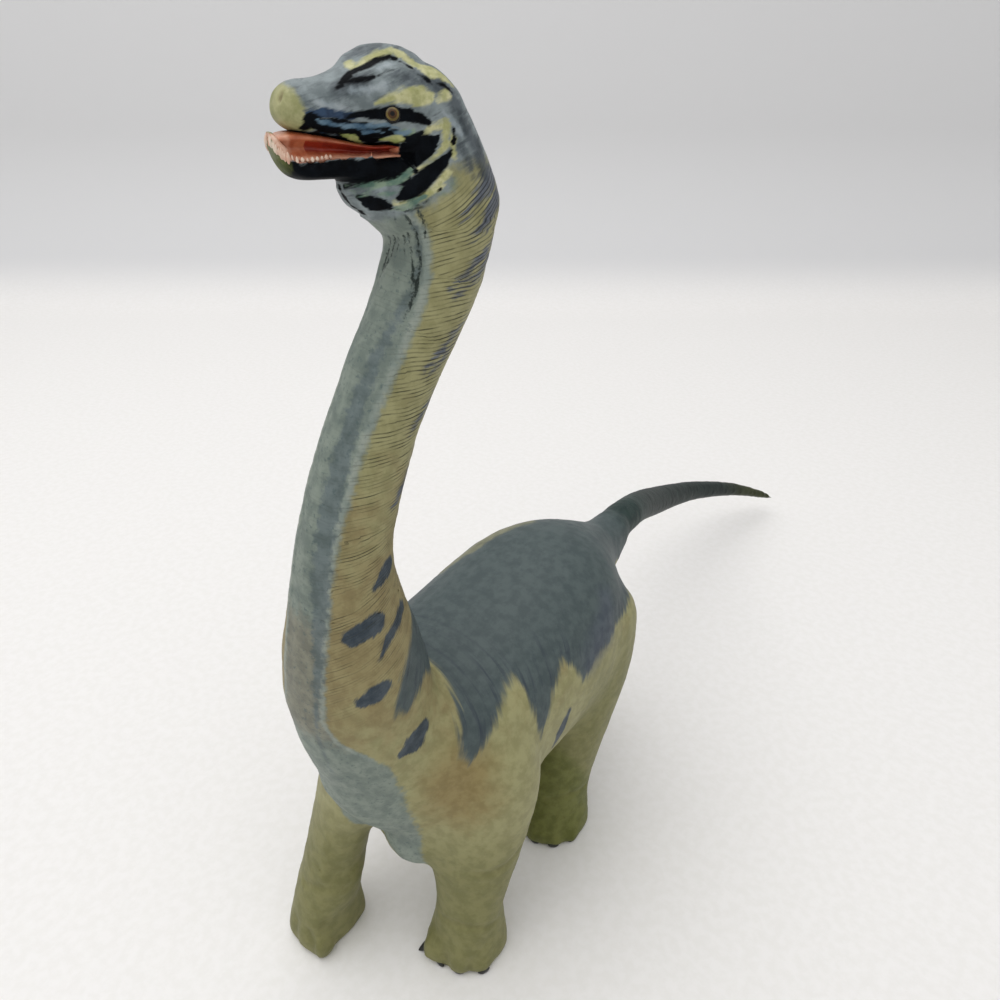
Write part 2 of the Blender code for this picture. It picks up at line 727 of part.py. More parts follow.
def build_neck(material):
    """The neck between its two seams, with a plug at each end."""
    neck = neck_tube("neck")
    low, low_up = neck_seam()
    high, high_up = head_seam()
    combine(neck, nape("nape"), "UNION")
    combine(neck, slab("below", low, -low_up, BODY_LENGTH), "DIFFERENCE")
    combine(neck, slab("above", high - high_up * CLEARANCE, high_up, BODY_LENGTH), "DIFFERENCE")
    plug = rod("plug", low + low_up * OVERRUN, -low_up, NECK_PLUG_LENGTH + OVERRUN, NECK_PLUG_WIDTH)
    combine(neck, plug, "UNION")
    plug = rod("plug", high - high_up * OVERRUN, high_up, HEAD_PLUG_LENGTH + OVERRUN, HEAD_PLUG_WIDTH)
    combine(neck, plug, "UNION")
    return finish(neck, "neck", material)


def build_tail(material):
    """The tail behind its seam, with the plug that goes into the body."""
    tail = tail_tube("tail")
    place, back = tail_seam()
    combine(tail, slab("ahead", place, -back, BODY_LENGTH), "DIFFERENCE")
    plug = rod("plug", place + back * OVERRUN, -back, TAIL_PLUG_LENGTH + OVERRUN, TAIL_PLUG_WIDTH)
    combine(tail, plug, "UNION")
    return finish(tail, "tail", material)


def build_head(material):
    """The skull, crest, brows and throat, with a socket for the neck and a pocket for the jaw."""
    _, _, left, _ = head_frame()
    head = head_loft("head", SKULL_SHARES)
    combine(head, nape("nape"), "UNION")
    combine(head, neck_tube("neck_top"), "UNION")
    combine(head, head_ball("crest", CREST_PLACE_SHARE, CREST_SIZE_SHARE, sides=CREST_SIDES), "UNION")
    for side in (1, -1):
        along, height, out = BROW_PLACE_SHARE
        combine(head, head_ball("brow", (along, height), BROW_SIZE_SHARE, side * out), "UNION")
        along, height, out = EYE_PLACE_SHARE
        eye = ball("eye", head_point(along, height, side * out), [EYE_WIDTH / 2] * 3)
        combine(head, eye, "UNION")

    corner = head_point(*MOUTH_CORNER_SHARE)
    ahead = [head_point(GAPE_REACH_SHARE, share) for share in GAPE_HEIGHT_SHARES]
    combine(head, prism("gape", [corner, *ahead], left, HEAD_WIDTH), "DIFFERENCE")
    combine(head, head_loft("jaw_room", JAW_SHARES, CLEARANCE), "DIFFERENCE")
    place, up = head_seam()
    combine(head, slab("below", place, -up, BODY_LENGTH), "DIFFERENCE")
    socket = rod("socket", place - up * OVERRUN, up, HEAD_PLUG_LENGTH + CLEARANCE + OVERRUN,
                 HEAD_PLUG_WIDTH + 2 * CLEARANCE)
    combine(head, socket, "DIFFERENCE")
    return finish(head, "head", material)


def build_jaw(material):
    """The lower jaw: a hollowed scoop with its teeth and its tongue."""
    _, forward, left, up = head_frame()
    jaw = head_loft("lower_jaw", JAW_SHARES)
    hollow = []
    for along, top, _, half in JAW_SHARES[2:-1]:
        depth = JAW_HOLLOW_DEPTH_SHARE
        hollow.append((along * JAW_HOLLOW_REACH_SHARE, top + depth, top - depth, half * JAW_HOLLOW_SHARE))
    combine(jaw, head_loft("hollow", hollow, sides=JAW_HOLLOW_SIDES), "DIFFERENCE")
    combine(jaw, head_ball("tongue", TONGUE_PLACE_SHARE, TONGUE_SIZE_SHARE), "UNION")
    for side in (1, -1):
        for tooth in teeth(side):
            combine(jaw, tooth, "UNION")
    return finish(jaw, "lower_jaw", material)


def settle_on_origin(items):
    """Hangs all pieces on one empty that puts the middle of their box over the origin."""
    bpy.context.view_layer.update()
    corners = [item.matrix_world @ Vector(corner) for item in items for corner in item.bound_box]
    low = Vector([min(corner[axis] for corner in corners) for axis in range(3)])
    high = Vector([max(corner[axis] for corner in corners) for axis in range(3)])
    stand = bpy.data.objects.new("figure", None)
    bpy.context.scene.collection.objects.link(stand)
    stand.location = (-(low.x + high.x) / 2, -(low.y + high.y) / 2, -low.z)
    for item in items:
        item.parent = stand
    bpy.context.view_layer.update()
    print("figure box:", [round(value, 4) for value in high - low])
    print("figure moved:", [round(value, 5) for value in stand.location])


def main():
    clear_scene()
    materials = {
        "hide": painted_vinyl("hide", (0.16, 0.19, 0.17)),
        "olive": painted_vinyl("olive", (0.22, 0.22, 0.12)),
        "neck": painted_vinyl("neck_paint", (0.27, 0.28, 0.18)),
        "dark": painted_vinyl("dark_slate", (0.05, 0.07, 0.08)),
        "head": painted_vinyl("head_paint", (0.13, 0.17, 0.17)),
    }
    pieces = build_body(materials)
    pieces.append(build_neck(materials["neck"]))
    pieces.append(build_tail(materials["dark"]))
    pieces.append(build_head(materials["head"]))
    pieces.append(build_jaw(materials["dark"]))
    for name, place in LEG_PLACES.items():
        pieces.append(build_leg(name, place, materials["olive"]))
    settle_on_origin(pieces)


main()
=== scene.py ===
import math
from functools import reduce

import bmesh
import bpy
import numpy as np
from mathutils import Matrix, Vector
from mathutils.bvhtree import BVHTree
from mathutils.geometry import tessellate_polygon


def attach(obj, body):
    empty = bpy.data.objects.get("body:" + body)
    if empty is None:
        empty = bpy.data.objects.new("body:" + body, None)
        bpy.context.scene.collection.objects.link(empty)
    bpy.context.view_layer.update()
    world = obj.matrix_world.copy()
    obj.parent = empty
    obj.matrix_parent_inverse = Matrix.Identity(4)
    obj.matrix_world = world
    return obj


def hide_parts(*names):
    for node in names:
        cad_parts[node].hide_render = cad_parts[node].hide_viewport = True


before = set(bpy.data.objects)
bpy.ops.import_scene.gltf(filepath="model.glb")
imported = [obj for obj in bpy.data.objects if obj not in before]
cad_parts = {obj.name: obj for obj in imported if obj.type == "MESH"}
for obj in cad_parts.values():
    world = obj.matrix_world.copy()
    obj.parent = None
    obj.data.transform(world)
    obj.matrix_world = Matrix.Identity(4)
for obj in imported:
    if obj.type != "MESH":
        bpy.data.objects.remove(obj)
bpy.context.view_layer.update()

# Lengths below are in millimetres on the figure: X to its left, -Y ahead, Z up from the soles
FIGURE_ORIGIN = np.array([-0.0017592, -0.123314, 0.0])
MM = 0.001

# The photograph's camera
CAMERA_PLACE = (127.0, -150.0, 270.0)
CAMERA_TURN = math.radians(38.5)
CAMERA_TILT = math.radians(30)
LENS = 27
SENSOR = 36

# How fine the skins are
BODY_VOXEL = 1.4
HEAD_VOXEL = 0.50
HEAD_GAP_FILL = 0.34
BODY_LEVELS = 1
HEAD_LEVELS = 1

# The head's own axes: its middle at eye height, and the turn to its right
HEAD_MIDDLE = np.array([9.22, -39.33, 262.05])
HEAD_TURN = math.radians(25)

# The neck's middle line from the chest up: X, Y, Z and half width
NECK_LINE = np.array((
    (0.0, -42.5, 82.0, 16.0),
    (0.0, -49.2, 98.0, 19.0),
    (0.0, -53.4, 127.0, 20.0),
    (3.0, -56.2, 152.0, 14.9),
    (5.0, -57.0, 166.0, 12.1),
    (6.7, -55.2, 179.0, 10.8),
    (8.8, -50.1, 195.0, 10.2),
    (10.1, -46.3, 204.0, 9.9),
    (11.3, -41.8, 213.0, 10.0),
    (12.3, -37.0, 220.6, 10.1),
    (14.0, -31.0, 232.6, 10.8),
    (15.4, -29.2, 243.0, 11.5),
    (15.8, -29.8, 252.0, 11.0),
    (15.8, -31.0, 262.0, 10.0),
))

# Where the pieces meet
LEG_SEAM = 39.0
BODY_NODES = ("body_shell_left", "body_shell_right", "neck", "tail",
              "foreleg_left", "foreleg_right", "hindleg_left", "hindleg_right")
HEAD_NODES = ("head", "lower_jaw")
LEGS = (("foreleg_left", True, True), ("foreleg_right", False, True),
        ("hindleg_left", True, False), ("hindleg_right", False, False))
# The forelegs lie ahead of the parting, and what is low behind the legs' end is the tail
LEG_PARTING = -8.0
LEGS_END = 200.0
LEG_PLANE = ((0.0, 0.0, LEG_SEAM), (0.0, 0.0, 1.0))
MIDDLE_PLANE = ((0.0, 0.0, 0.0), (1.0, 0.0, 0.0))
NECK_SEAM = ((4.1, -56.8, 159.8), (0.139, -0.03, 0.99))
TAIL_SEAM = ((-1.6, 91.4, 100.6), (-0.2, 0.95, -0.2))
# A core in the tail's root: its middle and half lengths. The skin still has a hole on the root's right
TAIL_CORE = ((-1.6, 80.0, 101.0), (8.2, 20.0, 7.4))
COLLAR_REACH = 9.0
COLLAR_OVERLAP = 0.8
COLLAR_FLOOR = 225.0
JAW_BACK = -4.0
JAW_FLOOR = -11.2
MOUTH_LEVEL = -5.8


def unit(vector):
    """A vector of length one."""
    vector = np.asarray(vector, float)
    return vector / np.linalg.norm(vector)


HEAD_AHEAD = np.array([-math.sin(HEAD_TURN), -math.cos(HEAD_TURN), 0.0])
HEAD_LEFT = np.array([math.cos(HEAD_TURN), -math.sin(HEAD_TURN), 0.0])
HEAD_SEAM = (HEAD_MIDDLE - 12.6 * HEAD_AHEAD - [0, 0, 10.8], 0.407 * HEAD_AHEAD + [0, 0, 0.914])


# Mesh arithmetic

def to_figure(points):
    """Places in the frame as millimetres on the figure."""
    return (np.asarray(points, float) - FIGURE_ORIGIN) / MM


def to_frame(points):
    """Millimetres on the figure as places in the frame."""
    return np.asarray(points, float) * MM + FIGURE_ORIGIN


def read_mesh(data):
    """The points, in figure millimetres, and the four-sided faces of a mesh."""
    points = np.empty(len(data.vertices) * 3)
    data.vertices.foreach_get("co", points)
    corners = np.empty(len(data.loops), np.int64)
    data.loops.foreach_get("vertex_index", corners)
    return to_figure(points.reshape(-1, 3)), corners.reshape(-1, 4)


def linked(name, data):
    """A new object in the scene."""
    item = bpy.data.objects.new(name, data)
    bpy.context.scene.collection.objects.link(item)
    return item


def add_fields(data, fields):
    """Stores each field's values on the points of a mesh."""
    for field, values in fields.items():
        layer = data.attributes.new(field, "FLOAT", "POINT")
        layer.data.foreach_set("value", np.asarray(values, np.float32))


def write_mesh(name, points, faces):
    """A linked object from points in figure millimetres and faces of any size."""
    data = bpy.data.meshes.new(name)
    data.from_pydata(to_frame(points).tolist(), [], [list(face) for face in faces])
    data.update()
    return linked(name, data)


def mesh_of(name, points, corners, starts):
    """A mesh built in one go, from its faces' corners in a row and the place where each face starts."""
    data = bpy.data.meshes.new(name)
    data.vertices.add(len(points))
    data.vertices.foreach_set("co", to_frame(points).astype(np.float32).ravel())
    data.loops.add(len(corners))
    data.loops.foreach_set("vertex_index", corners.astype(np.int32))
    data.polygons.add(len(starts))
    data.polygons.foreach_set("loop_start", starts.astype(np.int32))
    data.update(calc_edges=True)
    return data


def evaluated_arrays(item):
    """The points and faces of an object with its modifiers, after which the object goes."""
    shaped = item.evaluated_get(bpy.context.evaluated_depsgraph_get())
    data = bpy.data.meshes.new_from_object(shaped)
    points, quads = read_mesh(data)
    bpy.data.objects.remove(item, do_unlink=True)
    return points, quads


def voxel_skin(names, voxel, grow=0.0, floor_of_neck=None, core=None):
    """One closed skin over several solids; growing first and shrinking after closes their joints."""
    mesh = bmesh.new()
    for name in names:
        part = bmesh.new()
        part.from_mesh(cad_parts[name].data)
        bmesh.ops.remove_doubles(part, verts=part.verts[:], dist=1e-6)
        if name == "neck" and floor_of_neck is not None:
            cut = to_frame([0, 0, floor_of_neck])
            bmesh.ops.bisect_plane(part, geom=part.verts[:] + part.edges[:] + part.faces[:],
                                   plane_co=cut, plane_no=(0, 0, 1), clear_inner=True)
            bmesh.ops.holes_fill(part, edges=part.edges[:])
        spare = bpy.data.meshes.new("spare")
        part.to_mesh(spare)
        part.free()
        mesh.from_mesh(spare)
        bpy.data.meshes.remove(spare)
    if core:
        for vertex in bmesh.ops.create_icosphere(mesh, subdivisions=4, radius=1.0)["verts"]:
            vertex.co = to_frame(np.array(core[0]) + np.array(core[1]) * np.array(vertex.co))
    mesh.normal_update()
    for vertex in mesh.verts:
        vertex.co += vertex.normal * grow * MM
    data = bpy.data.meshes.new("skin")
    mesh.to_mesh(data)
    mesh.free()
    item = linked("skin", data)
    modifier = item.modifiers.new("skin", "REMESH")
    modifier.mode = "VOXEL"
    modifier.voxel_size = voxel * MM
    points, quads = evaluated_arrays(item)
    points, quads = outer_skin(points, quads)
    if grow:
        points = points - normals(points, quads) * grow
    return points, quads


def edges_of(quads):
    """Each edge once, as pairs of points."""
    pairs = np.concatenate([quads[:, [i, (i + 1) % 4]] for i in range(4)])
    pairs.sort(axis=1)
    return np.unique(pairs, axis=0)


def outer_skin(points, quads):
    """Keeps the one connected surface that reaches furthest, and drops the hollow's inside."""
    edges = edges_of(quads)
    label = np.arange(len(points))
    while True:
        low = np.minimum(label[edges[:, 0]], label[edges[:, 1]])
        fresh = label.copy()
        np.minimum.at(fresh, edges[:, 0], low)
        np.minimum.at(fresh, edges[:, 1], low)
        fresh = fresh[fresh]
        if (fresh == label).all():
            break
        label = fresh
    lowest = points[:, 2].argmin()
    keep = label == label[lowest]
    number = np.cumsum(keep) - 1
    kept = quads[keep[quads[:, 0]]]
    return points[keep], number[kept]


def normals(points, quads):
    """The outward direction at each point."""
    across = points[quads[:, 2]] - points[quads[:, 0]]
    down = points[quads[:, 3]] - points[quads[:, 1]]
    face = np.cross(across, down)
    out = np.zeros_like(points)
    for axis in range(3):
        total = np.zeros(len(points))
        for corner in range(4):
            total += np.bincount(quads[:, corner], face[:, axis], len(points))
        out[:, axis] = total
    return out / np.maximum(np.linalg.norm(out, axis=1), 1e-12)[:, None]


def pull(points, edges, degree):
    """How far each point lies from the middle of its neighbours."""
    start, end = edges[:, 0], edges[:, 1]
    out = np.empty_like(points)
    for axis in range(3):
        value = points[:, axis]
        total = np.bincount(start, value[end], len(points)) + np.bincount(end, value[start], len(points))
        out[:, axis] = total / degree - value
    return out


def relax(points, edges, rounds, weight=1.0, hold=-0.53):
    """Smooths a skin without shrinking it."""
    degree = np.bincount(edges.ravel(), minlength=len(points)).astype(float)
    weight = np.broadcast_to(weight, (len(points),))[:, None]
    for _ in range(rounds):
        points = points + 0.5 * weight * pull(points, edges, degree)
        points = points + hold * weight * pull(points, edges, degree)
    return points


def fill_folds(points, quads, edges, rounds, weight):
    """Rounds out the sharp inner corners only, as where a limb grows out of the body."""
    degree = np.bincount(edges.ravel(), minlength=len(points)).astype(float)
    for _ in range(rounds):
        facing = normals(points, quads)
        drawn = pull(points, edges, degree)
        outward = np.maximum((drawn * facing).sum(1), 0)
        points = points + 0.9 * (weight * outward)[:, None] * facing
    return points


def refine(points, quads, levels):
    """The same skin with each face split and rounded."""
    item = linked("fine", mesh_of("fine", points, quads.ravel(), np.arange(0, quads.size, 4)))
    modifier = item.modifiers.new("fine", "SUBSURF")
    modifier.levels = levels
    modifier.render_levels = levels
    return evaluated_arrays(item)


# Fields over the skin

def least(*values):
    """The lowest of several values at each point."""
    return reduce(np.minimum, values)


def step(low, high, value):
    """Nought below low, one above high, smooth between."""
    t = np.clip((value - low) / (high - low), 0, 1)
    return t * t * (3 - 2 * t)


def corner_value(cell, seed):
    """A fixed number from 0 to 1 for each corner of a grid."""
    cell = cell.astype(np.int64)
    mixed = (cell[..., 0] * 73856093) ^ (cell[..., 1] * 19349663) ^ (cell[..., 2] * 83492791)
    mixed = (mixed ^ (seed * 2654435761)) & 0xFFFFFFFF
    mixed = ((mixed ^ (mixed >> 15)) * 2246822519) & 0xFFFFFFFF
    mixed = ((mixed ^ (mixed >> 13)) * 3266489917) & 0xFFFFFFFF
    return ((mixed ^ (mixed >> 16)) & 0xFFFF) / 65535.0


def noise(points, size, seed=0):
    """Smooth mottling from -1 to 1 with spots of about the given size."""
    place = points / np.asarray(size, float)
    cell = np.floor(place)
    part = place - cell
    part = part * part * (3 - 2 * part)
    total = np.zeros(len(points))
    for corner in range(8):
        offset = np.array([corner & 1, corner >> 1 & 1, corner >> 2 & 1])
        share = np.prod(np.where(offset, part, 1 - part), axis=1)
        total += share * corner_value(cell + offset, seed)
    return total * 2 - 1


def cloud(points, size, seed=0, octaves=3):
    """Mottling in several sizes at once."""
    total = np.zeros(len(points))
    for octave in range(octaves):
        total += noise(points, size / 2 ** octave, seed + octave) / 2 ** octave
    return total


def stroke_depth(points, stroke):
    """How deep each point lies inside one brush stroke, whose rows are a place and a half width."""
    rows = np.asarray(stroke, float)
    best = np.full(len(points), -1e3)
    for start, end in zip(rows, rows[1:]):
        along = end[:-1] - start[:-1]
        length = max(along @ along, 1e-9)
        t = np.clip((points - start[:-1]) @ along / length, 0, 1)
        gap = np.linalg.norm(points - start[:-1] - t[:, None] * along, axis=1)
        best = np.maximum(best, start[-1] + (end[-1] - start[-1]) * t - gap)
    return best


def strokes_depth(points, strokes):
    """How deep each point lies inside any of several strokes."""
    best = np.full(len(points), -1e3)
    for stroke in strokes:
        best = np.maximum(best, stroke_depth(points, stroke))
    return best


def outline_depth(places, outline):
    """How deep flat places lie inside a closed outline."""
    outline = np.asarray(outline, float)
    gap = np.full(len(places), 1e6)
    inside = np.zeros(len(places), bool)
    for start, end in zip(outline, np.roll(outline, -1, axis=0)):
        along = end - start
        t = np.clip((places - start) @ along / max(along @ along, 1e-9), 0, 1)
        gap = np.minimum(gap, np.linalg.norm(places - start - t[:, None] * along, axis=1))
        crosses = (start[1] > places[:, 1]) != (end[1] > places[:, 1])
        rise = end[1] - start[1] if end[1] != start[1] else 1e-9
        meet = start[0] + (places[:, 1] - start[1]) * along[0] / rise
        inside ^= crosses & (places[:, 0] < meet)
    return np.where(inside, gap, -gap)


def neck_places(points):
    """Each point's height on the neck's line, its angle round from the front and the line's nearest place."""
    heights = np.linspace(NECK_LINE[0, 2], NECK_LINE[-1, 2], 240)
    line = np.stack([np.interp(heights, NECK_LINE[:, 2], NECK_LINE[:, axis]) for axis in range(3)], axis=1)
    nearest = np.empty(len(points), int)
    for start in range(0, len(points), 20000):
        block = points[start:start + 20000]
        gaps = ((block[:, None, :] - line[None]) ** 2).sum(2)
        nearest[start:start + 20000] = gaps.argmin(1)
    along = np.gradient(line, axis=0)
    along /= np.linalg.norm(along, axis=1)[:, None]
    side = np.array([1.0, 0, 0]) - along * along[:, :1]
    side /= np.linalg.norm(side, axis=1)[:, None]
    front = np.cross(along, side)
    offset = points - line[nearest]
    left = (offset * side[nearest]).sum(1)
    ahead = -(offset * front[nearest]).sum(1)
    beyond = (offset * along[nearest]).sum(1) * along[nearest, 2]
    return heights[nearest] + beyond, np.arctan2(left, ahead), line[nearest]


def head_places(points):
    """Places on the head: ahead of the eye, above it and out to either side, both sides alike."""
    offset = points - HEAD_MIDDLE
    return np.stack([offset @ HEAD_AHEAD, offset[:, 2], np.abs(offset @ HEAD_LEFT)], axis=1)


# Cutting the skins into the figure's pieces

def side_of(points, plane):
    """How far beyond a plane each place lies."""
    place, facing = plane
    return (points - np.asarray(place)) @ unit(facing)


def rims(quads):
    """The open borders of some faces, each as a ring of points."""
    pairs = np.concatenate([quads[:, [i, (i + 1) % 4]] for i in range(4)])
    code = pairs[:, 0] * (quads.max() + 1) + pairs[:, 1]
    back = pairs[:, 1] * (quads.max() + 1) + pairs[:, 0]
    open_pairs = pairs[~np.isin(code, back)]
    follow = {}
    for start, end in open_pairs.tolist():
        follow.setdefault(start, []).append(end)
    out = []
    while follow:
        first = next(iter(follow))
        loop = [first]
        while True:
            ends = follow[loop[-1]]
            end = ends.pop()
            if not ends:
                del follow[loop[-1]]
            if end == first:
                break
            loop.append(end)
        out.append(loop)
    return out


def piece_from(name, points, quads, fields, chosen, shading):
    """A closed piece from some faces of a skin, with its borders capped and its shading carried over."""
    used, flat = np.unique(quads[chosen], return_inverse=True)
    faces = flat.reshape(-1, 4)
    place = points[used]
    corners = [faces.ravel()]
    starts = [np.arange(0, faces.size, 4)]
    copied = [np.arange(len(used))]
    total_points = len(used)
    total_corners = faces.size
    for loop in rims(faces):
        if len(loop) < 3:
            continue
        loop = loop[::-1]
        cap = tessellate_polygon([[Vector(place[i]) for i in loop]])
        cap = np.array(cap, np.int64).reshape(-1, 3)
        if not len(cap):
            continue
        ring = place[loop]
        first, second, third = ring[cap.T]
        facing = np.cross(second - first, third - first).sum(0)
        swept = np.cross(ring, np.roll(ring, -1, axis=0)).sum(0)
        if facing @ swept < 0:
            cap = cap[:, ::-1]
        corners.append(cap.ravel() + total_points)
        starts.append(np.arange(len(cap)) * 3 + total_corners)
        copied.append(np.array(loop))
        total_points += len(loop)
        total_corners += cap.size
    copied = np.concatenate(copied)
    data = mesh_of(name, place[copied], np.concatenate(corners), np.concatenate(starts))
    data.shade_smooth()
    data.normals_split_custom_set_from_vertices(shading[used][copied].tolist())
    add_fields(data, {field: values[used][copied] for field, values in fields.items()})
    item = linked(name, data)
    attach(item, "root")
    return item


def snap_to(points, quads, labels, first, second, plane):
    """Draws the border between two groups of faces onto a plane, so that it runs straight."""
    a = np.zeros(len(points), bool)
    b = np.zeros(len(points), bool)
    a[quads[np.isin(labels, first)].ravel()] = True
    b[quads[np.isin(labels, second)].ravel()] = True
    shared = a & b
    facing = unit(plane[1])
    points[shared] -= side_of(points[shared], plane)[:, None] * facing


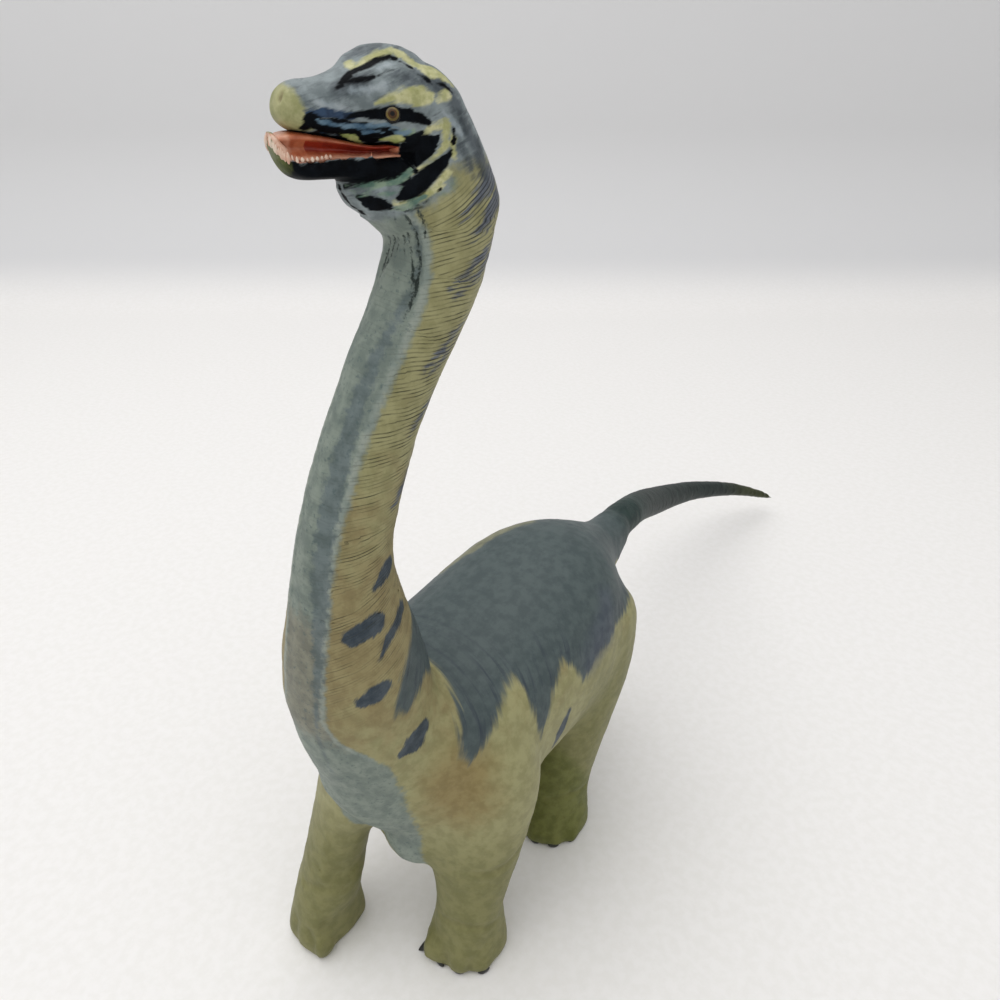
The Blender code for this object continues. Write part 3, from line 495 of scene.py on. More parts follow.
# The paint's shapes on the head: ahead of the eye, above it, out from the middle, and the half width
HEAD_STROKES = {
    "cream": (
        ((5.7, 8.6, 3.0, 0.7), (5.4, 7.8, 4.9, 0.9)),
        ((5.4, 7.8, 4.9, 0.7), (2.8, 8.8, 4.4, 0.6), (0.0, 10.2, 3.9, 0.8), (-2.8, 10.8, 3.3, 0.9),
         (-4.5, 9.9, 4.3, 0.9), (-6.5, 8.4, 5.6, 1.3), (-8.5, 7.4, 6.5, 1.7), (-10.5, 6.8, 6.3, 1.4),
         (-12.3, 5.5, 6.0, 0.8)),
        ((3.1, 2.3, 9.0, 0.25), (0.3, 3.2, 9.5, 0.7), (-2.5, 3.5, 9.6, 1.3), (-5.3, 3.3, 9.6, 1.6),
         (-6.6, 3.3, 9.5, 1.3)),
        ((-8.4, 2.5, 9.7, 0.5), (-10.8, 3.6, 8.8, 0.9)),
        ((-6.4, -1.9, 10.0, 0.5), (-8.2, -1.6, 10.1, 0.7), (-9.9, -1.2, 10.0, 0.9)),
        ((-9.9, -1.2, 10.0, 0.8), (-9.7, -3.5, 10.0, 0.8), (-9.4, -5.0, 10.0, 0.7), (-8.0, -6.4, 10.0, 0.5),
         (-5.8, -7.8, 9.3, 0.45), (-2.6, -9.4, 9.2, 0.4), (0.0, -10.3, 8.6, 0.4)),
        ((-6.6, -2.3, 10.0, 0.6), (-5.1, -3.1, 9.9, 0.3)),
        ((-9.5, -9.5, 10.5, 0.6), (-7.0, -12.0, 11.0, 0.9), (-3.5, -13.8, 11.0, 0.6), (1.0, -14.4, 9.5, 0.4)),
        ((-11.0, -3.3, 10.0, 0.5), (-11.1, -6.7, 10.4, 0.6)),
    ),
    "black": (
        ((-1.6, 9.7, 4.7, 0.4), (1.3, 8.8, 5.2, 0.6), (3.3, 8.0, 5.7, 0.75), (6.2, 7.0, 5.4, 0.8),
         (7.6, 6.2, 5.8, 0.6), (9.3, 4.8, 6.7, 0.3)),
        ((-1.6, 9.7, 4.6, 0.3), (-3.8, 8.9, 5.6, 0.4), (-5.2, 7.6, 6.8, 0.3)),
        ((-5.6, 6.6, 7.4, 0.2), (-7.0, 6.0, 7.8, 0.5), (-8.0, 5.0, 8.4, 0.2)),
        ((-9.0, 5.2, 8.2, 0.2), (-10.6, 5.0, 8.0, 0.5), (-12.0, 3.8, 8.0, 0.2)),
        ((2.8, 6.5, 7.6, 0.35), (5.6, 6.0, 7.2, 0.6), (7.6, 5.6, 6.6, 0.7)),
        ((1.8, 6.6, 7.9, 0.2), (-1.0, 7.5, 7.5, 0.3), (-2.5, 7.9, 6.8, 0.2)),
        ((8.5, 0.2, 7.9, 0.3), (5.5, 0.6, 8.3, 0.7), (2.6, 0.7, 9.1, 1.1), (0.0, 0.6, 9.9, 1.4),
         (-2.5, 0.3, 10.1, 1.2), (-4.8, -0.2, 10.2, 1.0), (-6.3, -0.9, 10.2, 0.5)),
        ((16.2, -2.0, 4.8, 0.5), (14.3, -0.5, 6.8, 1.5), (12.2, -1.2, 6.6, 1.7), (9.6, -1.6, 6.7, 1.8),
         (6.5, -1.8, 7.2, 1.6), (3.5, -2.3, 7.6, 1.6), (1.0, -2.4, 8.4, 1.1), (-1.0, -2.5, 9.0, 0.6)),
        ((13.8, -2.3, 5.6, 0.6), (11.0, -2.9, 5.6, 0.8), (8.4, -3.2, 5.4, 0.6)),
        ((5.6, -3.4, 5.6, 1.0), (3.6, -3.8, 6.2, 1.2), (1.8, -4.0, 6.8, 0.8)),
        ((-1.2, -3.6, 8.4, 0.8), (-3.2, -3.2, 9.2, 1.2), (-4.8, -2.6, 9.8, 0.6)),
        ((9.4, 4.4, 6.9, 0.3), (8.4, 5.4, 6.7, 0.8), (7.0, 6.6, 6.0, 0.9)),
        ((-1.4, -7.2, 8.0, 0.5), (-3.0, -8.5, 8.8, 0.6), (-4.4, -9.8, 9.4, 0.35)),
        ((8.8, -11.4, 0.4, 0.3), (8.7, -13.3, 1.7, 0.5), (7.4, -15.3, 2.6, 0.5), (5.1, -16.6, 4.2, 0.4)),
        ((-4.8, -3.6, 9.8, 0.8), (-6.6, -3.9, 9.9, 1.3), (-6.2, -5.0, 9.6, 1.4), (-4.0, -5.9, 8.8, 1.2),
         (-2.6, -6.8, 7.5, 1.2)),
        ((-2.2, -4.6, 8.0, 0.8), (-2.4, -6.5, 6.8, 1.4)),
        ((-11.5, -2.2, 9.8, 0.35), (-11.2, -4.4, 10.1, 0.4)),
        ((-10.7, -5.6, 10.2, 0.4), (-9.0, -7.4, 10.3, 1.1), (-6.5, -9.3, 10.3, 1.4), (-4.0, -11.0, 10.4, 1.8),
         (-1.5, -12.5, 10.3, 1.5), (0.2, -13.4, 10.2, 0.6)),
        ((6.8, -13.3, 5.6, 0.7), (5.4, -14.2, 6.6, 1.4), (3.8, -14.6, 7.9, 1.6), (2.0, -14.9, 9.0, 0.8)),
        ((8.6, -11.6, 3.0, 0.5), (5.6, -10.4, 6.6, 0.8), (2.2, -10.4, 8.0, 0.8)),
        ((6.6, -12.4, 5.2, 0.3), (4.2, -12.5, 7.0, 0.4), (1.4, -12.0, 8.8, 0.3)),
        ((4.0, -15.6, 7.6, 0.25), (2.0, -15.5, 9.0, 0.3), (-1.2, -15.5, 10.5, 0.3), (-4.0, -14.6, 11.4, 0.25),
         (-7.8, -12.3, 11.3, 0.2)),
    ),
    "blue": (
        ((13.2, -0.2, 6.9, 0.3), (11.2, -0.8, 6.9, 0.45), (8.9, -1.1, 7.1, 0.45), (6.3, -1.3, 7.5, 0.5),
         (3.7, -1.2, 8.2, 0.4), (1.1, -1.1, 8.9, 0.35), (-1.0, -1.7, 9.3, 0.25)),
        ((5.2, -2.5, 7.0, 0.15), (3.9, -2.2, 7.6, 0.3), (2.4, -2.3, 8.0, 0.3), (1.2, -2.9, 8.2, 0.15)),
        ((0.6, -2.3, 8.8, 0.3), (-1.2, -2.7, 9.0, 0.5), (-2.8, -2.2, 9.6, 0.3)),
        ((12.6, -2.6, 5.4, 0.2), (10.6, -3.0, 5.2, 0.25), (8.8, -3.1, 5.2, 0.1)),
    ),
    "navy": (
        ((15.0, 0.9, 6.8, 0.6), (12.4, 0.9, 7.2, 0.9), (9.6, 0.5, 7.6, 0.7), (7.2, 0.3, 7.9, 0.5)),
        ((4.6, -2.0, 7.4, 0.2), (3.2, -1.7, 8.0, 0.35), (1.4, -2.0, 8.5, 0.3)),
    ),
    # A dark pit at each nostril: painted shade in the sunken nostril
    "nostril": (((18.2, 3.9, 3.3, 0.35), (19.0, 3.2, 3.5, 0.5)),),
    "teal": (
        ((7.8, -12.3, 4.2, 0.2), (5.2, -12.5, 6.6, 0.3), (2.0, -12.1, 8.8, 0.3)),
        ((8.0, -11.6, 3.0, 0.4), (5.4, -11.5, 6.5, 0.6), (2.6, -11.2, 8.1, 0.7), (0.3, -10.9, 9.0, 0.7),
         (-1.7, -9.8, 9.1, 0.5), (-3.0, -8.6, 9.0, 0.3)),
        ((7.0, -12.9, 4.8, 0.3), (4.6, -13.0, 7.0, 0.4), (2.0, -12.6, 8.8, 0.5), (-0.4, -11.6, 9.6, 0.3)),
        ((-0.4, -2.6, 8.8, 0.3), (-1.8, -2.2, 9.4, 0.6), (-3.4, -2.2, 9.7, 0.4)),
        ((2.0, -15.6, 9.2, 0.3), (-1.6, -14.7, 10.6, 0.6), (-4.4, -13.2, 11.2, 0.5)),
    ),
    "lippatch": (
        ((8.8, -3.0, 5.8, 0.5), (6.8, -3.6, 5.4, 0.95), (5.6, -4.3, 4.6, 0.6)),
        ((1.8, -3.9, 6.6, 0.5), (-0.2, -3.7, 7.6, 0.9), (-1.6, -3.4, 8.4, 0.6)),
    ),
    # Whitish grey-blue patches on the snout's side, above the eye, by the crest and behind the cheek: painted
    # highlight
    "pale": (
        ((13.4, 2.6, 6.8, 0.3), (11.6, 2.0, 7.2, 0.9), (10.0, 1.7, 7.5, 0.9), (8.4, 1.7, 7.7, 0.3)),
        ((7.0, 4.4, 7.4, 0.3), (4.0, 4.3, 8.2, 0.7), (0.8, 5.2, 8.6, 0.5)),
        ((1.6, 7.6, 7.0, 0.3), (-0.8, 8.6, 6.2, 0.5), (-2.2, 8.9, 5.8, 0.2)),
        ((-9.6, 0.6, 10.0, 0.3), (-11.4, -0.8, 9.8, 0.8), (-13.2, -3.0, 9.4, 0.4)),
    ),
    # Dark slate patches: painted shade below and behind the crest, and the skull's own dark paint on its top
    "dark_slate_and_shade": (
        ((9.6, 3.6, 6.8, 0.8), (8.4, 4.9, 6.8, 1.8), (6.6, 5.5, 7.2, 1.8), (4.4, 5.8, 7.6, 1.2)),
        ((-5.2, 6.4, 7.6, 1.0), (-8.0, 5.8, 8.0, 1.9), (-11.0, 3.8, 8.4, 2.2), (-13.2, 0.8, 8.4, 1.6)),
        ((-1.5, 6.4, 8.2, 0.8), (-4.6, 6.2, 8.4, 1.3)),
        ((-12.4, 1.0, 8.6, 0.6), (-14.6, -2.4, 8.6, 1.6), (-16.8, -6.0, 7.8, 2.4), (-18.4, -9.6, 7.4, 2.2)),
        ((-12.6, -4.6, 9.8, 0.4), (-14.2, -7.6, 9.6, 1.2), (-15.2, -10.0, 9.4, 0.6)),
        ((6.6, 9.2, 2.6, 0.4), (3.0, 11.0, 2.0, 0.9), (-0.5, 11.6, 2.0, 0.5)),
    ),
}
CHEEK_BACK = ((-10.6, -0.4), (-9.4, -2.8), (-7.8, -5.6), (-6.4, -7.3), (-5.0, -8.5), (-3.0, -8.9))
CHEEK_TOP = ((-9.0, -2.8), (-6.5, -3.0), (-4.5, -3.4), (-1.5, -4.4))
SNOUT_PATCH = 14.0
# The upper lip's edge and the lower jaw's rim, as places ahead of the eye and their heights
LIP_LINE = ((-4.0, -4.9), (-1.8, -5.0), (4.7, -5.1), (8.5, -4.2), (12.2, -3.3), (15.3, -3.0), (21.0, -2.4))
RIM_LINE = ((-4.0, -6.0), (-1.5, -6.2), (3.0, -6.3), (9.0, -6.4), (14.4, -6.8), (17.2, -6.9), (19.2, -6.2),
            (20.3, -4.7), (20.8, -3.5), (21.2, -2.5), (21.8, -1.4))
# How far the rim is drawn up along the jaw
RIM_LIFT = ((-3.0, 0.0), (0.0, 0.5), (4.0, 0.7), (10.0, 0.6), (15.0, 0.1), (18.0, 0.0))
JAW_PAINT = (-2.6, 20.4, -11.3)

# On the neck and the body: places in figure millimetres on the left side, and the half width
SPOT_STROKES = (
    ((17.2, -58.0, 165.2, 1.0), (16.2, -53.0, 168.5, 2.6)),
    ((14.5, -64.5, 153.4, 2.6), (17.0, -59.5, 155.5, 3.3)),
    ((15.5, -65.0, 133.5, 1.7), (17.5, -62.0, 135.0, 2.9), (19.0, -59.5, 136.5, 2.0)),
    ((18.0, -60.0, 144.8, 0.6), (18.0, -56.0, 149.5, 1.4), (16.0, -49.0, 154.0, 1.8)),
    ((19.5, -56.5, 110.0, 1.6), (20.5, -52.0, 111.5, 4.2), (20.5, -48.5, 113.5, 3.0)),
    ((35.0, 1.5, 90.0, 1.2), (34.5, -2.0, 83.0, 2.4), (33.0, -3.5, 76.0, 0.8)),
)
# A bluer patch on the rump, and an olive streak on the far side of the back
PLUM_STROKES = (((28.0, 34.0, 114.0, 3.0), (32.0, 26.0, 106.0, 6.0), (34.0, 14.0, 101.0, 4.0)),)
FAR_STROKES = (((-27.0, 12.0, 112.0, 3.0), (-22.0, 25.0, 117.5, 4.5), (-18.0, 34.0, 120.0, 4.5),
                (-12.5, 43.0, 122.5, 2.5)),)
# Streaks over the nape: the height on the neck's line, the angle round from the front, and the half width
NAPE_STREAKS = (
    ((244, 62, 0.4), (247, 85, 1.5), (250, 110, 2.4), (252, 140, 2.0)),
    ((240, 72, 0.3), (243, 95, 1.2), (246, 125, 1.9), (248, 150, 1.2)),
    ((231, 66, 0.3), (234, 85, 0.8), (237, 105, 1.2), (240, 135, 0.7)),
    ((229, 76, 0.3), (232, 95, 0.9), (235, 120, 1.3), (237, 150, 0.8)),
    ((215, 78, 0.3), (218, 92, 0.6), (222, 112, 0.9), (225, 135, 0.5)),
    ((213, 90, 0.3), (216, 105, 0.6), (219, 122, 0.9), (221, 145, 0.4)),
    ((201, 98, 0.4), (204, 108, 0.9), (207, 125, 1.0), (209, 145, 0.5)),
    ((184, 103, 0.5), (187, 113, 1.2), (191, 128, 1.4), (194, 150, 0.5)),
)
# The slate back's edge down the flank, as places along the body and their heights
BACK_OUTLINE = (
    (-36, 152), (-44, 148), (-49.5, 142), (-54.5, 135), (-57.3, 129), (-57.5, 124.5), (-53.5, 124.5),
    (-50, 127), (-45, 129.5), (-38, 124), (-28, 117), (-31, 113.5), (-35.5, 110), (-39, 105), (-40.5, 99),
    (-39.5, 96), (-35, 99.5), (-30, 102.5), (-25, 106.5), (-19, 109), (-15, 110), (-14.5, 106),
    (-15.5, 100), (-14, 90.5), (-9.5, 96), (-4.5, 102.5), (3.5, 107.5), (6, 104.5), (9.5, 97), (14, 99.5),
    (20, 102), (26, 101), (33, 103.5), (42, 103), (52, 104), (62, 104), (72, 100), (84, 94), (95, 90),
    (130, 80), (130, 200), (-30, 200),
)
# The pale stripe down the front: heights, and its edge as an angle round from the front
STRIPE_EDGE = ((75, 62), (95, 66), (108, 62), (116, 48), (122, 32), (130, 24), (145, 26), (161, 33),
               (183, 40), (198, 43), (215, 50), (227, 48), (238, 38), (244, 26), (250, 14), (258, 4))
CHEST_HALF = 17.0
CHEST_FLOOR = ((-30, 88), (-14, 73), (0, 56), (6, 48), (12, 46), (18, 46))
# The dark band within the stripe, partly its own paint and partly painted shade in the groove it sinks into,
# and its half width in millimetres; it tightens into the throat's crease
BAND_LINE = ((120, 14, 0.3), (150, 20, 1.4), (168, 22, 2.4), (187, 17, 2.6), (205, 15, 2.0), (216, 20, 1.2),
             (229, 28, 0.7), (236, 26, 0.45), (243, 17, 0.4))
# The throat's folds: heights on the neck's line, angles round from the front, and half widths; they are
# painted near black as shade in the folds
THROAT_FOLDS = (
    ((214, 17, 0.15), (222, 24, 0.3), (230, 29, 0.4), (236, 26, 0.4), (240, 20, 0.35), (245, 15, 0.3)),
    ((226, 20, 0.1), (231, 24, 0.25), (235, 19, 0.3), (239, 12, 0.3), (244, 8, 0.25)),
    ((237, 6, 0.15), (241, 4, 0.3), (244, 3, 0.2)),
    ((240, 30, 0.1), (242, 27, 0.25), (245, 24, 0.2)),
    ((207, 14, 0.1), (211, 15, 0.3), (215, 18, 0.2)),
)
# Creases as places on the skin: the throat's upper folds, the elbow, the knees and between the toes; they are
# painted dark as shade in the creases
CREASES = (
    ((19.0, -41.0, 242.5, 0.25), (18.6, -42.5, 245.0, 0.4), (17.6, -44.0, 247.0, 0.2)),
    ((16.0, -43.0, 243.0, 0.2), (16.6, -44.0, 245.0, 0.35), (17.4, -44.6, 246.8, 0.2)),
    ((21.0, -39.5, 243.0, 0.2), (20.6, -41.0, 246.0, 0.3), (19.8, -42.2, 248.0, 0.2)),
    ((30.0, -42.0, 50.0, 0.1), (33.5, -37.0, 49.0, 0.5), (36.2, -32.0, 49.6, 0.7), (37.6, -26.0, 53.0, 0.4)),
    ((19.0, -46.5, 22.0, 0.2), (26.0, -45.8, 24.0, 0.5), (31.0, -42.5, 23.6, 0.5), (35.0, -34.0, 20.0, 0.2)),
    ((-22.5, -69.0, 29.0, 0.2), (-15.0, -67.4, 32.0, 0.5), (-9.5, -61.5, 29.5, 0.3)),
    ((-18.0, -74.0, 12.0, 0.2), (-15.5, -74.5, 8.0, 0.5), (-14.6, -75.8, 3.0, 0.6)),
    ((-24.0, -74.0, 12.0, 0.2), (-24.2, -75.0, 7.0, 0.5), (-24.2, -76.0, 2.0, 0.6)),
    ((-13.5, -70.5, 16.0, 0.2), (-11.0, -71.5, 9.0, 0.5), (-10.5, -72.5, 3.0, 0.5)),
    ((23.0, -48.0, 8.0, 0.2), (23.4, -49.0, 5.0, 0.5), (23.4, -49.5, 1.0, 0.5)),
    ((30.2, -44.5, 8.0, 0.2), (30.6, -45.5, 4.0, 0.5), (30.8, -46.0, 1.0, 0.5)),
    ((17.0, -47.0, 8.0, 0.2), (16.6, -49.0, 4.0, 0.5), (16.4, -49.6, 1.0, 0.5)),
    ((20.5, 12.5, 24.0, 0.2), (27.0, 19.5, 26.0, 0.5), (29.0, 28.0, 24.0, 0.3)),
)

# Each foot's middle, where its nails stand, its thumb claw's root and tip, and whether they are dark
FEET = {
    "foreleg_left": ((22.4, -36.0), ((20.2, -49.4), (27.2, -47.6), (34.0, -42.0)),
                     ((14.6, -46.4, 3.0), (11.6, -51.0, 0.9)), True),
    "foreleg_right": ((-21.4, -62.7), ((-14.0, -74.0), (-20.4, -74.8), (-28.0, -73.2)), None, False),
    "hindleg_left": ((15.7, 23.7), ((18.0, 9.2), (25.1, 12.3), (29.4, 19.3)), None, True),
    "hindleg_right": ((-19.8, 73.9), ((-18.0, 59.3), (-25.7, 60.4), (-31.8, 65.9)), None, True),
}
# The nails' half width, thickness and height, the level of their middles, and how far out each kind stands
NAIL_HALF = (2.2, 0.95, 1.7)
NAIL_LEVEL = 1.4
DARK_NAIL_OUT = -0.1
OLIVE_NAIL_OUT = -0.9
THUMB_GIRTH = 2.5
OFF_FLOOR = 0.02
# How far the tail's root is raised and slimmed against the solid
TAIL_RAISED = 4.5
TAIL_SLIMMED = 0.18
# How far the right foreleg's inner side is drawn in, at its foot and above
FOOT_SLIMMED = 3.2
UPPER_LEG_SLIMMED = 2.6
# The skin's relief: how far its ridges and toes rise and its lines sink
RIDGE_RISE = 0.34
TOE_RISE = 0.7
WRINKLE_SUNK = 0.08
BAND_SUNK = 0.40
FOLD_SUNK = 0.34
CREASE_SUNK = 0.6
NOSTRIL_SUNK = 0.35
# The pad under the thumb claw, and how far it stands out
THUMB_PAD = (14.6, -44.5, 1.9)


def toe_places():
    """Where the toes and the thumb's pad stand, and how far the skin rises there."""
    toes = [(x, y, TOE_RISE) for _, nails, _, _ in FEET.values() for x, y in nails]
    return toes + [THUMB_PAD]


def line_value(line, places):
    """Reads a broken line of places and values."""
    line = np.asarray(line, float)
    return np.interp(places, line[:, 0], line[:, 1])


def neck_point(height, degrees):
    """A place on the neck's surface."""
    centre = np.array([np.interp(height, NECK_LINE[:, 2], NECK_LINE[:, axis]) for axis in range(3)])
    half = np.interp(height, NECK_LINE[:, 2], NECK_LINE[:, 3])
    angle = math.radians(degrees)
    return centre + half * np.array([math.sin(angle), -math.cos(angle), 0.0])


def wrinkle_phase(points, height, degrees):
    """Counts the fine creases that climb round the neck, which wander and run together."""
    half = np.interp(height, NECK_LINE[:, 2], NECK_LINE[:, 3])
    climb = 0.42 * np.maximum(degrees - 20, 0) * math.pi / 180 * half
    wander = 0.6 * noise(points, (11, 11, 8), 11) + 0.22 * noise(points, (4, 4, 2.5), 12)
    return (height - climb) / 0.86 + wander


def neck_strokes(streaks):
    """Strokes given by height and angle, as places on the neck's surface on both sides."""
    out = []
    for streak in streaks:
        for side in (1, -1):
            out.append([(*neck_point(z, side * degree), width) for z, degree, width in streak])
    return out


def head_fields(points):
    """How deep each point of the head lies in each of its paints, and where it is on the head."""
    spots = head_places(points)
    ahead, above, _ = spots.T
    lip = line_value(LIP_LINE, ahead)
    rim = line_value(RIM_LINE, ahead)
    back, front, floor_level = JAW_PAINT
    jaw = least(ahead - back, front - ahead, rim - 0.25 - above, above - floor_level)
    behind = line_value(CHEEK_BACK, above)
    cheek = least(ahead - behind - 0.4, -1.5 - ahead, line_value(CHEEK_TOP, ahead) - above, above + 10.4)
    lip_edge = least(lip + 1.1 - above, above - lip + 0.4, ahead + 1.5, 17.5 - ahead)
    jaw = np.maximum(np.maximum(jaw, cheek), lip_edge)
    seam = side_of(points, HEAD_SEAM)
    skull = np.minimum(np.maximum(above + 8.5, ahead + 10.0), seam + 0.5)
    mouth = least(lip - above, above - rim, ahead + 1.4)
    brushed = {name: strokes_depth(spots, strokes) for name, strokes in HEAD_STROKES.items()}
    return brushed | {
        "black": np.maximum(brushed["black"], jaw),
        "snout": least(ahead - SNOUT_PATCH - 0.6 * above, above + 2.6 + 0.5 * (ahead - 16)),
        "mouth": mouth,
        # Whitish pink at the front of the gape: painted highlight
        "front_gum_highlight": least(mouth, ahead - 18.8),
        # Darker olive on the jaw's front under the upper lip: painted shade
        "chin_shade": least(ahead - 19.0, -2.0 - above, above + 13),
        "skull": skull,
        "throat": least(-10.6 - above, ahead + 11.0, seam),
        "ahead": ahead,
        "above": above,
    }


def body_fields(points, facing):
    """The same for the neck, the body, the legs and the tail."""
    x, y, z = points.T
    height, angle, line = neck_places(points)
    lean = np.where(z > 120, line[:, 0], 0)
    folded = points.copy()
    folded[:, 0] = lean + np.abs(x - lean)
    half = np.interp(height, NECK_LINE[:, 2], NECK_LINE[:, 3])
    degrees = np.degrees(np.abs(angle))
    stripe = (line_value(STRIPE_EDGE, height) - degrees) * math.pi / 180 * half
    narrow = CHEST_HALF - 0.8 * step(72, 56, z)
    chest = least(narrow - np.abs(x + 1.5 * step(80, 60, z)), -36 - y, z - 47,
                  0.8 * (z - line_value(CHEST_FLOOR, x)))
    high = step(88, 104, z)
    front = np.minimum(stripe, -30 - y + 60 * step(120, 150, z))
    belly = chest * (1 - high) + front * high
    back = outline_depth(folded[:, 1:], BACK_OUTLINE)
    nape = strokes_depth(points, neck_strokes(NAPE_STREAKS))
    band = np.asarray(BAND_LINE, float)
    centre = np.interp(height, band[:, 0], band[:, 1])
    width = np.interp(height, band[:, 0], band[:, 2])
    band_depth = width - np.abs(np.degrees(angle) - centre) * math.pi / 180 * half
    band_depth = np.minimum(band_depth, 0.4 * (height - 104))
    tail = least(y - 84, 30 * facing[:, 2] + 14, np.maximum(z - 60, y - 104))
    return {
        "back": back,
        "spot": strokes_depth(folded, SPOT_STROKES),
        "nape": nape,
        "band": band_depth,
        "border": np.minimum(0.75 - np.abs(stripe - 0.9), 0.3 * (z - 112)),
        # The folds and creases, painted dark as shade
        "fold": strokes_depth(points, neck_strokes(THROAT_FOLDS) + list(CREASES[:3])),
        "crease": strokes_depth(points, CREASES[3:]),
        "dun": least(stripe - 0.5, 0.3 * (158 - height), 0.3 * (z - 119)),
        "tan": 4 - np.abs(z - 150) / 8 + np.minimum(0, -stripe),
        "green": least(52 - z - 1.2 * np.maximum(x + y - 40, 0), 2 * y + 4, 2 * x),
        "belly": belly,
        "tail": tail,
        "limb": 58 + 34 * step(-5, 20, y) - z,
        "phase": wrinkle_phase(points, height, degrees),
        "inking": step(118, 160, z) * (0.16 + 0.84 * step(2, -2, stripe)) * step(256, 240, height)
        * step(0, -20, y),
        "streak": folded[:, 1] - 0.5 * folded[:, 2],
        "drop": folded[:, 2],
        "plum": strokes_depth(folded, PLUM_STROKES),
        "farside": strokes_depth(points, FAR_STROKES),
        "tailend": y - 118,
        "tailtip": y - 280,
        "rust": -np.linalg.norm((folded - [26, -42, 88]) / [14, 10, 16], axis=1) + 1,
    }


def srgb(red, green, blue):
    """A shader colour from the levels of a painted surface."""
    return tuple(((v / 255 + 0.055) / 1.055) ** 2.4 for v in (red, green, blue)) + (1.0,)


class Paint:
    """A painted plastic, put together coat by coat."""

    def __init__(self, name, base, roughness):
        self.material = bpy.data.materials.new(name)
        self.material.use_nodes = True
        self.tree = self.material.node_tree
        self.shader = self.tree.nodes["Principled BSDF"]
        self.shader.inputs["Roughness"].default_value = roughness
        self.places = self.node("ShaderNodeTexCoord").outputs["Object"]
        self.colour = self.mottled(base)
        self.last = None

    def node(self, kind, **settings):
        node = self.tree.nodes.new(kind)
        for key, value in settings.items():
            setattr(node, key, value)
        return node

    def link(self, start, end):
        self.tree.links.new(start, end)

    def noise(self, scale, detail=3.0, vector=None):
        node = self.node("ShaderNodeTexNoise")
        node.inputs["Scale"].default_value = scale
        node.inputs["Detail"].default_value = detail
        node.inputs["Roughness"].default_value = 0.6
        self.link(vector or self.places, node.inputs["Vector"])
        return node.outputs["Fac"]

    def math(self, operation, first, second):
        node = self.node("ShaderNodeMath", operation=operation)
        for socket, value in zip(node.inputs, (first, second)):
            if isinstance(value, (int, float)):
                socket.default_value = value
            else:
                self.link(value, socket)
        return node.outputs[0]

    def times(self, first, second):
        return self.math("MULTIPLY", first, second)

    def flat_place(self, across, down):
        """A place for a noise, made of two values, so that its streaks follow the paint's strokes."""
        node = self.node("ShaderNodeCombineXYZ")
        self.link(across, node.inputs["X"])
        self.link(down, node.inputs["Y"])
        return node.outputs["Vector"]

    def attribute(self, name):
        return self.node("ShaderNodeAttribute", attribute_name=name).outputs["Fac"]

    def ramp(self, value, low, high):
        node = self.node("ShaderNodeMapRange", interpolation_type="SMOOTHSTEP")
        node.inputs["From Min"].default_value = low
        node.inputs["From Max"].default_value = high
        self.link(value, node.inputs["Value"])
        return node.outputs["Result"]

    def mix(self, factor, first, second):
        node = self.node("ShaderNodeMix", data_type="RGBA")
        self.link(factor, node.inputs["Factor"])
        for socket, value in ((node.inputs[6], first), (node.inputs[7], second)):
            if isinstance(value, tuple):
                socket.default_value = value
            else:
                self.link(value, socket)
        return node.outputs[2]

    def mottled(self, pair):
        """Two shades of one paint, mixed in soft patches."""
        dark, light = pair
        return self.mix(self.ramp(self.noise(260, 4), 0.35, 0.65), srgb(*dark), srgb(*light))

    def coat(self, field, pair, soft=0.3, ragged=0.6, size=900, most=1.0, vector=None):
        """Lays a paint over what is there, where the field is above nought."""
        wander = self.times(self.math("SUBTRACT", self.noise(size, 3, vector), 0.5), 2 * ragged)
        depth = self.math("ADD", self.attribute(field), wander)
        share = self.ramp(depth, -soft, soft)
        if most < 1:
            share = self.times(share, most)
        self.colour = self.mix(share, self.colour, self.mottled(pair))
        self.last = share

    def shade(self, factor, colour):
        """Darkens or tints by a factor that is already a value."""
        self.colour = self.mix(factor, self.colour, srgb(*colour))

    def finish(self, height=None, distance=0.0001, strength=0.6):
        self.link(self.colour, self.shader.inputs["Base Color"])
        bump = self.node("ShaderNodeBump")
        bump.inputs["Distance"].default_value = distance
        bump.inputs["Strength"].default_value = strength
        self.link(height if height is not None else self.noise(1500, 4), bump.inputs["Height"])
        self.link(bump.outputs["Normal"], self.shader.inputs["Normal"])
        return self.material


SLATE = ((66, 77, 78), (78, 89, 89))
KHAKI = ((135, 132, 92), (151, 148, 107))
OLIVE = ((110, 109, 67), (124, 122, 79))
PALE_BLUE = ((104, 115, 108), (126, 136, 126))
CREAM = ((164, 164, 112), (192, 190, 148))
NIGHT = ((3, 5, 8), (10, 14, 19))
SPOT = ((42, 54, 64), (66, 76, 84))


